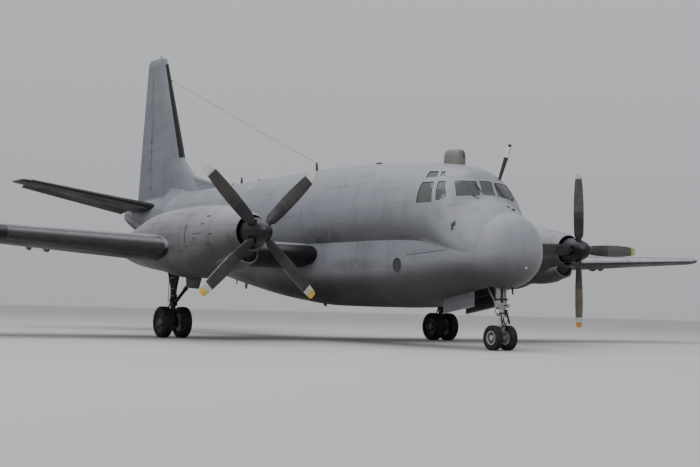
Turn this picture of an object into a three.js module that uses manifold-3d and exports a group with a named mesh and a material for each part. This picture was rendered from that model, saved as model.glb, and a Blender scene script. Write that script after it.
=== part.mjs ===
// Twin-turboprop military transport plane, parked on its landing gear.
// Millimetres, +Z up, nose towards -Y, port side towards +X.
// Stations (y) are counted aft from the main wheels' axle, and the whole aircraft is then
// moved by AXLE_Y so that the origin lies on the ground under the middle of its bounding box.
import * as THREE from 'three';
import { mergeVertices } from 'three/addons/utils/BufferGeometryUtils.js';
import Module from 'manifold-3d';

const wasm = await Module();
wasm.setup();

// Overall layout
const AXLE_Y = -2672;
const FIT = 0.3; // gap between solids that touch
const CLEAR = 8; // gap around what moves
const PIN_RADIUS = 14;
const LUG = 34; // bracket that holds a door's hinge rod
const LUG_HALF = 20;
const SLAB_RADIUS = 6000;
const CENTRE = new THREE.Vector3();
const AXIS_Y = new THREE.Vector3(0, 1, 0);
const PIN_REACH = 90; // length of a hinge pin inside the piece that it turns

// Fuselage
const SKIN = 22;
const COCKPIT_SKIN = 36;
const NOSE_SEAM_Y = -9980;
const FORWARD_END_Y = -5200;
const CENTRE_END_Y = 3300;
const REAR_END_Y = 9700;
const TAIL_END_Y = 16100;

// Wing
const WING_Z = 2700; // middle of the wing at the nacelle
const WING_RISE = 0.05; // height gained per unit of span, outboard of the nacelle only
const WING_CHORD = 4950;
const TIP_CHORD = 2050;
const WING_LE_Y = -2500;
const TIP_LE_Y = 20;
const WING_TIP_X = 18340;
const WING_SKIN = 26;
const WING_THICKNESS = 0.165;
const TIP_THICKNESS = 0.13;
const HINGE_SHARE = 0.76; // share of the chord ahead of the flap and aileron hinges
const FLAP_END_X = 11400;
const AILERON_END_X = 17300;

// Nacelles and propellers
const HUB_X = 5750;
const HUB_Y = -6524;
const HUB_Z = 3060;
const PROP_RADIUS = 2440;
const SPINNER_RADIUS = 400;
const SPINNER_REAR_Y = -6100;
const SPINNER_TIP_Y = -7000;
const SHANK_RADIUS = 120;
const LIP_RADIUS = 505;
const NACELLE_SKIN = 24;
const FIREWALL_Y = -2780;
const PORT_BLADE_ANGLE = 1.4; // degrees from +X towards +Z
const STARBOARD_BLADE_ANGLE = 45.3;

// Main gear
const GEAR_X = 5200;
const MAIN_TYRE_RADIUS = 484;
const MAIN_TYRE_WIDTH = 330;
const MAIN_TWIN_SPACING = 640;
const MAIN_RIM_RADIUS = 262;
const MAIN_AXLE_RADIUS = 70;
const SPAR_BOTTOM_Z = 2250;

// Nose gear
const NOSE_GEAR_Y = -9770;
const NOSE_TYRE_RADIUS = 342;
const NOSE_TYRE_WIDTH = 215;
const NOSE_TWIN_SPACING = 500;
const NOSE_RIM_RADIUS = 175;
const NOSE_AXLE_RADIUS = 42;
const NOSE_COLLAR_Z = 1130;
const NOSE_BAY_X = 445;
const NOSE_BAY_FRONT_Y = -9955;
const NOSE_BAY_REAR_Y = -7620;
const NOSE_BAY_ROOF_Z = 2250;

// Tail
const HINGE_Y = 13320; // rudder and elevator hinge lines
const TAILPLANE_Z = 4790;
const TAILPLANE_RISE = 0.17;
const TAILPLANE_TIP_X = 5900;
const FIN_TOP_Z = 11360;
const FIN_BOTTOM_Z = 5300;
const FIN_SKIN = 18;

const aircraft = new THREE.Group();
aircraft.position.set(0, AXLE_Y, 0);

const PAINT = { color: 0x8f969d, roughness: 0.55, metalness: 0.1 };
const PALE_PAINT = { color: 0x9ba1a6, roughness: 0.5, metalness: 0.1 };
const RUBBER = { color: 0x1b1b1a, roughness: 0.85, metalness: 0 };
const BLACK = { color: 0x1d1f21, roughness: 0.4, metalness: 0.1 };
const GEAR_GREY = { color: 0x3a3a3a, roughness: 0.5, metalness: 0.5 };
const SILVER = { color: 0xa9a9a6, roughness: 0.35, metalness: 0.8 };
const GLASS = { color: 0x55606a, roughness: 0.08, metalness: 0 };
const INSIDE = { color: 0x4b4f4c, roughness: 0.8, metalness: 0 };
const BEIGE = { color: 0xa59c8c, roughness: 0.6, metalness: 0 };

function add(name, solid, finish) {
  const mesh = new THREE.Mesh(geometryOf(solid), new THREE.MeshStandardMaterial(finish));
  mesh.name = name;
  aircraft.add(mesh);
}

// The same port solid on both sides: as it is, and mirrored to starboard.
function addPair(name, solid, finish) {
  add(`${name}_port`, solid, finish);
  add(`${name}_starboard`, mirrored(solid), finish);
}

// A closed geometry as a solid whose faces point out.
function solidOf(geometry) {
  const bare = geometry.clone();
  for (const attribute of Object.keys(bare.attributes)) {
    if (attribute !== 'position') bare.deleteAttribute(attribute);
  }
  const merged = mergeVertices(bare, 0.001);
  const index = merged.index.array;
  const place = merged.attributes.position;
  const corner = (i) => new THREE.Vector3().fromBufferAttribute(place, i);
  const kept = [];
  let volume = 0;
  for (let i = 0; i < index.length; i += 3) {
    const [a, b, c] = [index[i], index[i + 1], index[i + 2]];
    if (a === b || b === c || c === a) continue;
    kept.push(a, b, c);
    volume += corner(a).dot(corner(b).cross(corner(c)));
  }
  if (volume < 0) kept.reverse();
  return new wasm.Manifold(new wasm.Mesh({
    numProp: 3,
    vertProperties: new Float32Array(place.array),
    triVerts: new Uint32Array(kept),
  }));
}

function geometryOf(solid) {
  const mesh = solid.getMesh();
  const geometry = new THREE.BufferGeometry();
  geometry.setAttribute('position', new THREE.BufferAttribute(mesh.vertProperties, 3));
  geometry.setIndex(new THREE.BufferAttribute(mesh.triVerts, 1));
  return geometry;
}

function mirrored(solid) {
  return solidOf(geometryOf(solid).applyMatrix4(new THREE.Matrix4().makeScale(-1, 1, 1)));
}

function moved(solid, x, y, z) {
  return solidOf(geometryOf(solid).translate(x, y, z));
}

function turnedRound(solid, direction, degrees, point) {
  const geometry = geometryOf(solid).translate(-point.x, -point.y, -point.z);
  const turn = new THREE.Matrix4().makeRotationAxis(direction, THREE.MathUtils.degToRad(degrees));
  return solidOf(geometry.applyMatrix4(turn).translate(point.x, point.y, point.z));
}

function joined(...solids) {
  return solids.reduce((whole, piece) => whole.add(piece));
}

// A closed body through a list of rings with the same number of points, capped at both ends. Each
// four-sided patch is split along its shorter diagonal, so that both sides of the aircraft match.
function loft(rings) {
  const count = rings[0].length;
  const points = rings.flat();
  const faces = [];
  for (let r = 0; r + 1 < rings.length; r += 1) {
    for (let i = 0; i < count; i += 1) {
      const a = r * count + i;
      const b = r * count + ((i + 1) % count);
      if (points[a].distanceTo(points[b + count]) <= points[b].distanceTo(points[a + count])) {
        faces.push(a, b, b + count, a, b + count, a + count);
      } else {
        faces.push(a, b, a + count, b, b + count, a + count);
      }
    }
  }
  const ends = [[rings[0], 0, false], [rings.at(-1), (rings.length - 1) * count, true]];
  for (const [ring, start, flip] of ends) {
    const middle = new THREE.Vector3();
    for (const point of ring) middle.addScaledVector(point, 1 / count);
    const centre = points.push(middle) - 1;
    for (let i = 0; i < count; i += 1) {
      const a = start + i;
      const b = start + ((i + 1) % count);
      faces.push(...(flip ? [centre, a, b] : [centre, b, a]));
    }
  }
  const geometry = new THREE.BufferGeometry().setFromPoints(points);
  geometry.setIndex(faces);
  return solidOf(geometry);
}

function block(low, high) {
  const size = high.map((value, i) => value - low[i]);
  const middle = high.map((value, i) => (value + low[i]) / 2);
  return solidOf(new THREE.BoxGeometry(...size).translate(...middle));
}

// A flat outline pushed along an axis: outline points are (x, y) along z, (y, z) along x, (x, z) along y.
function prism(outline, axis, from, to) {
  const shape = new THREE.Shape(outline.map(([u, v]) => new THREE.Vector2(u, v)));
  const geometry = new THREE.ExtrudeGeometry(shape, { depth: to - from, bevelEnabled: false });
  const [X, Y, Z] = [new THREE.Vector3(1, 0, 0), new THREE.Vector3(0, 1, 0), new THREE.Vector3(0, 0, 1)];
  if (axis === 'z') geometry.translate(0, 0, from);
  if (axis === 'x') {
    geometry.translate(0, 0, from);
    geometry.applyMatrix4(new THREE.Matrix4().makeBasis(Y, Z, X));
  }
  if (axis === 'y') {
    geometry.translate(0, 0, -to);
    geometry.applyMatrix4(new THREE.Matrix4().makeBasis(X, Z, Y.clone().negate()));
  }
  return solidOf(geometry);
}

// A round rod or cone between two points.
function rod(from, to, radius, endRadius = radius, sides = 16) {
  const start = new THREE.Vector3(...from);
  const end = new THREE.Vector3(...to);
  const along = end.clone().sub(start);
  const geometry = new THREE.CylinderGeometry(endRadius, radius, along.length(), sides);
  const upright = new THREE.Vector3(0, 1, 0);
  const turn = new THREE.Quaternion().setFromUnitVectors(upright, along.clone().normalize());
  geometry.applyQuaternion(turn);
  geometry.translate(...start.add(end).multiplyScalar(0.5).toArray());
  return solidOf(geometry);
}

// A turned body: profile points are (radius, distance along the axis), on 'x' or 'y', at a centre.
// Its radii are those of its flats, and one flat faces straight down.
function turned(profile, axis, centre, sides) {
  const toCorner = 1 / Math.cos(Math.PI / sides);
  const points = profile.map(([radius, along]) => new THREE.Vector2(radius * toCorner, along));
  const geometry = new THREE.LatheGeometry(points, sides, Math.PI / sides);
  if (axis === 'x') geometry.rotateZ(-Math.PI / 2);
  return solidOf(geometry.translate(...centre));
}

// Fuselage sections: two stacked lobes that meet at a crease.
const UPPER_STEPS = 5;
const SIDE_STEPS = 2;
const LOWER_STEPS = 4;
const SECTION = (y, top, upperX, upperZ, creaseX, creaseZ, lowerX, lowerZ, bottom) => ({
  y, top, upperX, upperZ, creaseX, creaseZ, lowerX, lowerZ, bottom,
});
// The radome: a blunt form whose sections shrink forward from the seam and rise a little.
const RADOME = { depth: 780, power: 1.9, halfWidth: 1115, middle: 2590, above: 1140, below: 920, rise: 150 };
const radomeSection = (share) => {
  const shrink = (1 - share ** RADOME.power) ** (1 / RADOME.power);
  const middle = RADOME.middle + RADOME.rise * share;
  const halfWidth = RADOME.halfWidth * shrink;
  const bend = 30 * shrink;
  return SECTION(NOSE_SEAM_Y - RADOME.depth * share, middle + RADOME.above * shrink, halfWidth, middle + bend,
    halfWidth * 0.998, middle, halfWidth, middle - bend, middle - RADOME.below * shrink);
};
const SECTIONS = [
  ...[0.995, 0.95, 0.85, 0.68, 0.45, 0].map(radomeSection),
  SECTION(-9700, 3930, 1270, 2740, 1262, 2650, 1265, 2550, 1630),
  SECTION(-9200, 4260, 1440, 3000, 1405, 2740, 1410, 2510, 1560),
  SECTION(-8930, 4750, 1520, 3220, 1445, 2820, 1455, 2480, 1500),
  SECTION(-8600, 5050, 1600, 3480, 1470, 2890, 1490, 2430, 1450),
  SECTION(-8200, 5175, 1620, 3680, 1465, 2950, 1495, 2390, 1390),
  SECTION(-7400, 5300, 1645, 3820, 1460, 3010, 1500, 2330, 1250),
  SECTION(-6500, 5370, 1650, 3880, 1460, 3040, 1505, 2270, 1130),
  SECTION(-5200, 5470, 1650, 3920, 1460, 3050, 1510, 2250, 1110),
  SECTION(-1800, 5620, 1650, 3960, 1460, 3050, 1510, 2250, 1130),
  SECTION(800, 5600, 1650, 3950, 1460, 3050, 1505, 2300, 1330),
  SECTION(3300, 5560, 1640, 3950, 1450, 3080, 1480, 2450, 1700),
  SECTION(6500, 5520, 1560, 4020, 1390, 3280, 1390, 2880, 2300),
  SECTION(9700, 5480, 1330, 4180, 1220, 3700, 1215, 3420, 2980),
  SECTION(12300, 5450, 960, 4460, 915, 4190, 915, 4030, 3570),
  SECTION(14500, 5330, 560, 4760, 545, 4620, 545, 4520, 4090),
  SECTION(15600, 5130, 310, 4870, 305, 4800, 305, 4730, 4450),
  SECTION(16000, 5010, 170, 4840, 167, 4800, 170, 4770, 4590),
  SECTION(TAIL_END_Y, 4940, 100, 4830, 98, 4800, 100, 4770, 4660),
];

function sectionAt(y) {
  const after = SECTIONS.findIndex((section) => section.y >= y);
  if (after <= 0) return { ...SECTIONS[0], y };
  const [a, b] = [SECTIONS[after - 1], SECTIONS[after]];
  const share = (y - a.y) / (b.y - a.y);
  return Object.fromEntries(Object.keys(a).map((key) => [key, a[key] + share * (b[key] - a[key])]));
}

function fuselageRing(section, inset) {
  const { y, upperZ, creaseZ, lowerZ } = section;
  const top = section.top - inset;
  const bottom = section.bottom + inset;
  const [upperX, lowerX] = [section.upperX - inset, section.lowerX - inset];
  const creaseX = section.creaseX - inset;
  const upperDrop = (upperZ - creaseZ) / Math.sqrt(1 - (creaseX / upperX) ** 2);
  const lowerRise = (creaseZ - lowerZ) / Math.sqrt(1 - Math.min(creaseX / lowerX, 0.9995) ** 2);
  const half = [];
  for (let i = 0; i <= UPPER_STEPS; i += 1) {
    const angle = (i / UPPER_STEPS) * (Math.PI / 2);
    half.push([upperX * Math.sin(angle), upperZ + (top - upperZ) * Math.cos(angle)]);
  }
  for (let i = 1; i <= SIDE_STEPS; i += 1) {
    const drop = ((upperZ - creaseZ) * i) / SIDE_STEPS;
    half.push([upperX * Math.sqrt(1 - (drop / upperDrop) ** 2), upperZ - drop]);
  }
  for (let i = 1; i < SIDE_STEPS; i += 1) {
    const rise = (creaseZ - lowerZ) * (1 - i / SIDE_STEPS);
    half.push([lowerX * Math.sqrt(1 - (rise / lowerRise) ** 2), lowerZ + rise]);
  }
  for (let i = 0; i <= LOWER_STEPS; i += 1) {
    const angle = (i / LOWER_STEPS) * (Math.PI / 2);
    half.push([lowerX * Math.cos(angle), lowerZ - (lowerZ - bottom) * Math.sin(angle)]);
  }
  const otherHalf = half.slice(1, -1).reverse().map(([x, z]) => [-x, z]);
  return [...half, ...otherHalf].map(([x, z]) => new THREE.Vector3(x, y, z));
}

// The fuselage's outer form, or one inset from it, between two stations.
function fuselageForm(from, to, inset = 0, pastFront = 0, pastRear = pastFront) {
  const inner = SECTIONS.filter((section) => section.y > from + 1 && section.y < to - 1);
  const sections = [sectionAt(from), ...inner, sectionAt(to)];
  const rings = sections.map((section) => fuselageRing(section, inset));
  if (pastFront > 0) rings.unshift(rings[0].map((point) => point.clone().setY(from - pastFront)));
  if (pastRear > 0) rings.push(rings.at(-1).map((point) => point.clone().setY(to + pastRear)));
  return loft(rings);
}

// Nacelle sections, round the propeller's axis in front and thinning to the wing's trailing edge.
const NACELLE_SIDES = 16;
const NACELLE_SECTIONS = [
  // station, top, bottom, half-width, squareness (2 is an ellipse)
  { y: -6050, top: 3565, bottom: 2555, halfWidth: 505, inboard: 0, power: 2 },
  { y: -5900, top: 3625, bottom: 2485, halfWidth: 560, inboard: 0, power: 2 },
  { y: -5420, top: 3735, bottom: 2335, halfWidth: 645, inboard: 5, power: 2.05 },
  { y: -4820, top: 3840, bottom: 2200, halfWidth: 715, inboard: 15, power: 2.1 },
  { y: -4050, top: 3905, bottom: 1990, halfWidth: 775, inboard: 32, power: 2.2 },
  { y: -3350, top: 3930, bottom: 1825, halfWidth: 800, inboard: 45, power: 2.3 },
  { y: -2300, top: 3930, bottom: 1830, halfWidth: 805, inboard: 50, power: 2.35 },
  { y: -800, top: 3860, bottom: 2010, halfWidth: 790, inboard: 45, power: 2.3 },
  { y: 800, top: 3530, bottom: 2190, halfWidth: 670, inboard: 25, power: 2.2 },
  { y: 2000, top: 3150, bottom: 2410, halfWidth: 385, inboard: 10, power: 2.1 },
  { y: 2800, top: 2850, bottom: 2600, halfWidth: 110, inboard: 0, power: 2 },
];

function nacelleForm(inset) {
  const rings = NACELLE_SECTIONS.map(({ y, top, bottom, halfWidth, inboard, power }) => {
    const middle = (top + bottom) / 2;
    const ring = [];
    for (let i = 0; i < NACELLE_SIDES; i += 1) {
      const angle = (i / NACELLE_SIDES) * 2 * Math.PI;
      const [cos, sin] = [Math.cos(angle), Math.sin(angle)];
      const reachX = Math.sign(cos) * Math.abs(cos) ** (2 / power) * (halfWidth - inset);
      const reachZ = Math.sign(sin) * Math.abs(sin) ** (2 / power) * ((top - bottom) / 2 - inset);
      ring.push(new THREE.Vector3(HUB_X - inboard + reachX, y, middle + reachZ));
    }
    return ring;
  });
  return loft(rings);
}

// Wing, tailplane and fin sections: a symmetrical profile with a blunt trailing edge.
const PROFILE_STEPS = 7;
function profile(chord, thickness) {
  const half = [];
  for (let i = 0; i <= PROFILE_STEPS; i += 1) {
    const share = (1 - Math.cos((i / PROFILE_STEPS) * Math.PI)) / 2;
    const depth = 5 * thickness * (0.2969 * Math.sqrt(share) - 0.126 * share - 0.3516 * share ** 2
      + 0.2843 * share ** 3 - 0.1 * share ** 4);
    half.push([share * chord, depth * chord]);
  }
  const lower = half.slice(1).map(([along, depth]) => [along, -depth]);
  return [...half.reverse(), ...lower];
}

// Half the profile's depth at a share of its chord.
function halfDepth(chord, thickness, share) {
  return 5 * thickness * chord * (0.2969 * Math.sqrt(share) - 0.126 * share - 0.3516 * share ** 2
    + 0.2843 * share ** 3 - 0.1 * share ** 4);
}

// A surface that lies flat: span stations along x.
function flatSurface(stations) {
  return loft(stations.map(({ x, leading, chord, z, thickness }) => profile(chord, thickness)
    .map(([along, depth]) => new THREE.Vector3(x, leading + along, z + depth))));
}

// The hollow inside a flat surface, between two shares of its chord, a wall's thickness in from its skin.
const CAVITY_STEPS = 5;
function cavity(stations, fromShare, toShare, wall) {
  return loft(stations.map(({ x, leading, chord, z, thickness }) => {
    const half = Array.from({ length: CAVITY_STEPS + 1 }, (_, i) => {
      const share = fromShare + (toShare - fromShare) * (i / CAVITY_STEPS) ** 1.5;
      return [leading + share * chord, Math.max(halfDepth(chord, thickness, share) - wall, 4)];
    });
    const lower = [...half].reverse().map(([y, depth]) => [y, -depth]);
    return [...half, ...lower].map(([y, depth]) => new THREE.Vector3(x, y, z + depth));
  }));
}

// A part of the chord, from one share to another, over the whole span: a cutting body.
function chordSlice(stations, fromShare, toShare, reach) {
  return loft(stations.map(({ x, leading, chord, z }) => {
    const [front, back] = [leading + fromShare * chord, leading + toShare * chord];
    return [[front, -reach], [back, -reach], [back, reach], [front, reach]]
      .map(([y, height]) => new THREE.Vector3(x, y, z + height));
  }));
}

// The station between two, by span.
function between(stations, x) {
  const after = Math.max(1, stations.findIndex((station) => station.x >= x));
  const [a, b] = [stations[after - 1], stations[after]];
  const share = (x - a.x) / (b.x - a.x);
  return Object.fromEntries(Object.keys(a).map((key) => [key, a[key] + share * (b[key] - a[key])]));
}

// The control surface between two span stations, and the body to cut out of the surface for it. Both end
// square to the hinge line, so that the surface turns between the ends of its room. A droop turns it down.
const END_SPARE = 120;
const NOSE_SPARE = 24; // round the nose of a surface, so that its lower skin passes the edge of the wing
function controlSurface(stations, fromX, toX, share, droop = 0) {
  const wide = [between(stations, fromX - END_SPARE), between(stations, toX + END_SPARE)];
  const ends = [between(stations, fromX), between(stations, toX)];
  const centre = (end) => new THREE.Vector3(end.x, end.leading + share * end.chord, end.z);
  const radius = (end) => halfDepth(end.chord, end.thickness, share) * 0.98;
  const [start, end] = ends.map(centre);
  const along = end.clone().sub(start).normalize();
  const past = (gap) => [start.clone().addScaledVector(along, -gap).toArray(),
    end.clone().addScaledVector(along, gap).toArray()];
  const slab = (gap) => rod(...past(gap), SLAB_RADIUS, SLAB_RADIUS, 8);
  const nose = rod(...past(0), radius(ends[0]), radius(ends[1]), 10);
  const tail = flatSurface(wide).intersect(chordSlice(wide, share, 1.01, 1000)).intersect(slab(0));
  const room = rod(...past(CLEAR), radius(ends[0]) + NOSE_SPARE, radius(ends[1]) + NOSE_SPARE, 16);
  const cut = chordSlice(wide, share, 1.05, 1000).intersect(slab(CLEAR)).add(room);
  const hollow = cavity([wide[0], between(stations, toX - END_SPARE)], share + 0.02, 0.93, 12);
  const surface = nose.add(tail).subtract(hollow).add(hingePins(start, end));
  return { surface: turnedRound(surface, along, droop, start), cut };
}

// Pins on a hinge line, past both ends of what turns there, up to the faces that hold them.
function hingePins(start, end) {
  const along = end.clone().sub(start).normalize();
  const at = (point, distance) => point.clone().addScaledVector(along, distance).toArray();
  const reach = CLEAR - FIT;
  return rod(at(start, -reach), at(start, PIN_REACH), PIN_RADIUS, PIN_RADIUS, 6)
    .add(rod(at(end, -PIN_REACH), at(end, reach), PIN_RADIUS, PIN_RADIUS, 6));
}

// Wing
const wingStation = (x) => {
  const outboard = Math.max(0, (x - HUB_X) / (WING_TIP_X - HUB_X));
  return {
    x,
    leading: WING_LE_Y + outboard * (TIP_LE_Y - WING_LE_Y),
    chord: WING_CHORD + outboard * (TIP_CHORD - WING_CHORD),
    z: WING_Z + WING_RISE * Math.max(0, x - HUB_X),
    thickness: WING_THICKNESS + outboard * (TIP_THICKNESS - WING_THICKNESS),
  };
};
const innerStations = [wingStation(1300), wingStation(HUB_X)];
const outerStations = [wingStation(HUB_X), wingStation(WING_TIP_X - 420)];
const tipStations = [
  wingStation(WING_TIP_X - 420),
  { ...wingStation(WING_TIP_X - 130), leading: TIP_LE_Y + 60, chord: TIP_CHORD - 130, thickness: 0.11 },
  { ...wingStation(WING_TIP_X), leading: TIP_LE_Y + 420, chord: TIP_CHORD - 700, thickness: 0.04 },
];
const nacelleOuter = nacelleForm(0);
const nacelleRoom = nacelleForm(-FIT);
const wingCavity = (stations) => cavity(stations, 0.03, HINGE_SHARE - 0.1, WING_SKIN);

const INNER_FLAP = { from: 1730, to: HUB_X - 790 };
const OUTER_FLAP = { from: HUB_X + 770, to: FLAP_END_X };
const AILERON = { from: FLAP_END_X + 60, to: AILERON_END_X };

const innerFlap = controlSurface(innerStations, INNER_FLAP.from, INNER_FLAP.to, HINGE_SHARE);
const innerWingRaw = flatSurface(innerStations)
  .subtract(fuselageForm(FORWARD_END_Y, CENTRE_END_Y, -FIT))
  .subtract(nacelleRoom)
  .subtract(innerFlap.cut)
  .subtract(wingCavity(innerStations));
const JACK_PAD = { x: 3000, y: -400, radius: 60, faceZ: 2280 };
const jackPad = rod([JACK_PAD.x, JACK_PAD.y, JACK_PAD.faceZ], [JACK_PAD.x, JACK_PAD.y, JACK_PAD.faceZ + 60],
  JACK_PAD.radius, JACK_PAD.radius, 12);
addPair('wing_inner', largest(innerWingRaw).add(jackPad), PAINT);
addPair('flap_inner', innerFlap.surface, PAINT);

const outerFlap = controlSurface(outerStations, OUTER_FLAP.from, OUTER_FLAP.to, HINGE_SHARE);
const aileron = controlSurface(outerStations, AILERON.from, AILERON.to, HINGE_SHARE);
const outerCavity = wingCavity([outerStations[0], between(outerStations, WING_TIP_X - 900)]);
const outerWingRaw = flatSurface(outerStations)
  .add(flatSurface(tipStations))
  .subtract(nacelleRoom)
  .subtract(outerFlap.cut)
  .subtract(aileron.cut)
  .subtract(outerCavity);
addPair('wing_outer', largest(outerWingRaw), PAINT);
addPair('flap_outer', outerFlap.surface, PAINT);
addPair('aileron', aileron.surface, PAINT);

// The biggest of the bodies that a cut leaves.
function largest(solid) {
  return solid.decompose().reduce((best, body) => (body.volume() > best.volume() ? body : best));
}

// Fuselage shells
const skinOf = (from, to, skin) => fuselageForm(from, to).subtract(fuselageForm(from, to, skin, 50));

const radomeSolid = fuselageForm(SECTIONS[0].y, NOSE_SEAM_Y - FIT)
  .subtract(fuselageForm(SECTIONS[1].y, NOSE_SEAM_Y - FIT, SKIN, 0, 50));
add('nose_radome', radomeSolid, PALE_PAINT);

// Cockpit panes: outlines on the side (y, z) and in front (x, z).
const SIDE_PANES = [
  [[-7925, 4013], [-7821, 4640], [-8282, 4637], [-8566, 4012]],
  [[-8668, 4035], [-8395, 4641], [-8607, 4644], [-8900, 4150]],
];
const FRONT_PANES = [
  [[-221, 4262], [221, 4262], [221, 4690], [-221, 4690]],
  [[303, 4250], [1050, 4185], [925, 4650], [300, 4675]],
];
const paneCuts = () => {
  const cuts = [];
  for (const pane of SIDE_PANES) {
    const cut = prism(pane, 'x', 700, 1800);
    cuts.push(cut, mirrored(cut));
  }
  const [centrePane, frontPane] = FRONT_PANES;
  const frontCut = prism(frontPane, 'y', -9600, -8500);
  cuts.push(prism(centrePane, 'y', -9600, -8700), frontCut, mirrored(frontCut));
  return cuts;
};
const noseBayCut = block([-NOSE_BAY_X, NOSE_BAY_FRONT_Y, 1000], [NOSE_BAY_X, NOSE_BAY_REAR_Y, 1900]);
const NOSE_DOOR = {
  x: NOSE_BAY_X - 30,
  front: -9120,
  frontZ: 1585,
  rear: -7690,
  rearZ: 1365,
  thickness: 26,
};
const NOSE_JACK = { y: -6000, faceZ: 1100 };
const noseLugs = [
  block([NOSE_DOOR.x - 20, NOSE_DOOR.front - FIT - LUG, NOSE_DOOR.frontZ - 20],
    [NOSE_BAY_X + 10, NOSE_DOOR.front - FIT, NOSE_DOOR.frontZ + 20]),
  block([NOSE_DOOR.x - 20, NOSE_DOOR.rear + FIT, NOSE_DOOR.rearZ - 20],
    [NOSE_BAY_X + 10, NOSE_DOOR.rear + FIT + LUG, NOSE_DOOR.rearZ + 20]),
];
const forwardShell = skinOf(NOSE_SEAM_Y, FORWARD_END_Y - FIT, COCKPIT_SKIN)
  .subtract(noseBayCut)
  .add(joined(...noseLugs, ...noseLugs.map(mirrored)))
  .add(rod([0, NOSE_JACK.y, NOSE_JACK.faceZ], [0, NOSE_JACK.y, NOSE_JACK.faceZ + 60], 60, 60, 12));
add('forward_fuselage', paneCuts().reduce((shell, cut) => shell.subtract(cut), forwardShell), PAINT);

const GLASS_LOW_Z = 3960;
const GLASS_HIGH_Z = 4790;
const GLASS_DEPTH = 16;
const glazing = fuselageForm(NOSE_SEAM_Y, FORWARD_END_Y - FIT, COCKPIT_SKIN + FIT)
  .subtract(fuselageForm(NOSE_SEAM_Y, FORWARD_END_Y - FIT, COCKPIT_SKIN + FIT + GLASS_DEPTH, 80))
  .intersect(block([-1700, -9990, GLASS_LOW_Z], [1700, -7400, GLASS_HIGH_Z]));
add('cockpit_glazing', largest(glazing), GLASS);

const DECK_Z = 2980;
const DECK_FRONT_Y = -9350;
const BULKHEAD_Y = -6900;
const deckRoom = fuselageForm(NOSE_SEAM_Y, FORWARD_END_Y - FIT, COCKPIT_SKIN + FIT);
const deck = joined(
  block([-1700, DECK_FRONT_Y, DECK_Z - 50], [1700, BULKHEAD_Y + 50, DECK_Z]),
  block([-1700, BULKHEAD_Y, 1900], [1700, BULKHEAD_Y + 50, 5400]),
  prism(
    [[-9340, DECK_Z - 20], [-9060, DECK_Z - 20], [-8900, 3560], [-8990, 3860], [-9340, 3820]],
    'x', -1050, 1050,
  ),
  block([-240, -8910, DECK_Z - 20], [240, -8100, 3350]),
).intersect(deckRoom);
add('cockpit_deck', deck, INSIDE);

const SEAT_X = 560;
const SEAT_Y = -8050;
function seat(x) {
  return joined(
    block([x - 170, SEAT_Y - 200, DECK_Z + FIT], [x + 170, SEAT_Y + 200, DECK_Z + 300]),
    block([x - 240, SEAT_Y - 260, DECK_Z + 290], [x + 240, SEAT_Y + 260, DECK_Z + 420]),
    prism([[SEAT_Y + 140, DECK_Z + 400], [SEAT_Y + 260, DECK_Z + 400], [SEAT_Y + 400, DECK_Z + 1180],
      [SEAT_Y + 280, DECK_Z + 1180]], 'x', x - 230, x + 230),
    block([x - 130, SEAT_Y + 300, DECK_Z + 1170], [x + 130, SEAT_Y + 395, DECK_Z + 1350]),
  );
}
add('seat_port', seat(SEAT_X), INSIDE);
add('seat_starboard', seat(-SEAT_X), INSIDE);

const BAY_WALL = 20;
const noseBay = block(
  [-NOSE_BAY_X - BAY_WALL, NOSE_BAY_FRONT_Y - BAY_WALL, 1100],
  [NOSE_BAY_X + BAY_WALL, NOSE_BAY_REAR_Y + BAY_WALL, NOSE_BAY_ROOF_Z + BAY_WALL],
).subtract(block([-NOSE_BAY_X, NOSE_BAY_FRONT_Y, 900], [NOSE_BAY_X, NOSE_BAY_REAR_Y, NOSE_BAY_ROOF_Z]))
  .intersect(deckRoom)
  .subtract(joined(...noseLugs, ...noseLugs.map(mirrored)));
add('nose_gear_bay', largest(noseBay), INSIDE);

const centreShell = skinOf(FORWARD_END_Y, CENTRE_END_Y - FIT, SKIN);
add('centre_fuselage', centreShell, PAINT);

add('rear_fuselage', skinOf(CENTRE_END_Y, REAR_END_Y - FIT, SKIN), PAINT);

const TAIL_CAVITY_END_Y = 15400;
const tailCone = fuselageForm(REAR_END_Y, TAIL_END_Y)
  .subtract(fuselageForm(REAR_END_Y, TAIL_CAVITY_END_Y, SKIN, 50, 0));
add('tail_cone', tailCone, PAINT);

// Fin and rudder: sections along z
const FIN_STATIONS = [
  // height, leading edge station, chord to the trailing edge, thickness
  { z: FIN_BOTTOM_Z, leading: 8700, trailing: 14960, thickness: 0.075 },
  { z: 6210, leading: 9560, trailing: 14850, thickness: 0.085 },
  { z: 6820, leading: 10420, trailing: 14780, thickness: 0.095 },
  { z: 11030, leading: 12350, trailing: 14285, thickness: 0.11 },
  { z: 11260, leading: 12600, trailing: 14225, thickness: 0.09 },
  { z: FIN_TOP_Z, leading: 13050, trailing: 14040, thickness: 0.04 },
];
function uprightSurface(stations) {
  return loft(stations.map(({ z, leading, trailing, thickness }) => profile(trailing - leading, thickness)
    .map(([along, depth]) => new THREE.Vector3(depth, leading + along, z))));
}
const finWhole = uprightSurface(FIN_STATIONS);
const RUDDER_BOTTOM_Z = 5560;
const RUDDER_TOP_Z = 10960;
const rudderRadius = (z) => {
  const after = FIN_STATIONS.findIndex((station) => station.z >= z);
  const [a, b] = [FIN_STATIONS[after - 1], FIN_STATIONS[after]];
  const share = (z - a.z) / (b.z - a.z);
  const blended = Object.keys(a).map((key) => [key, a[key] + share * (b[key] - a[key])]);
  const station = Object.fromEntries(blended);
  const chord = station.trailing - station.leading;
  return halfDepth(chord, station.thickness, (HINGE_Y - station.leading) / chord) * 0.98;
};
const RUDDER_LEVELS = [RUDDER_BOTTOM_Z, FIN_STATIONS[1].z, FIN_STATIONS[2].z, RUDDER_TOP_Z];
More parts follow.
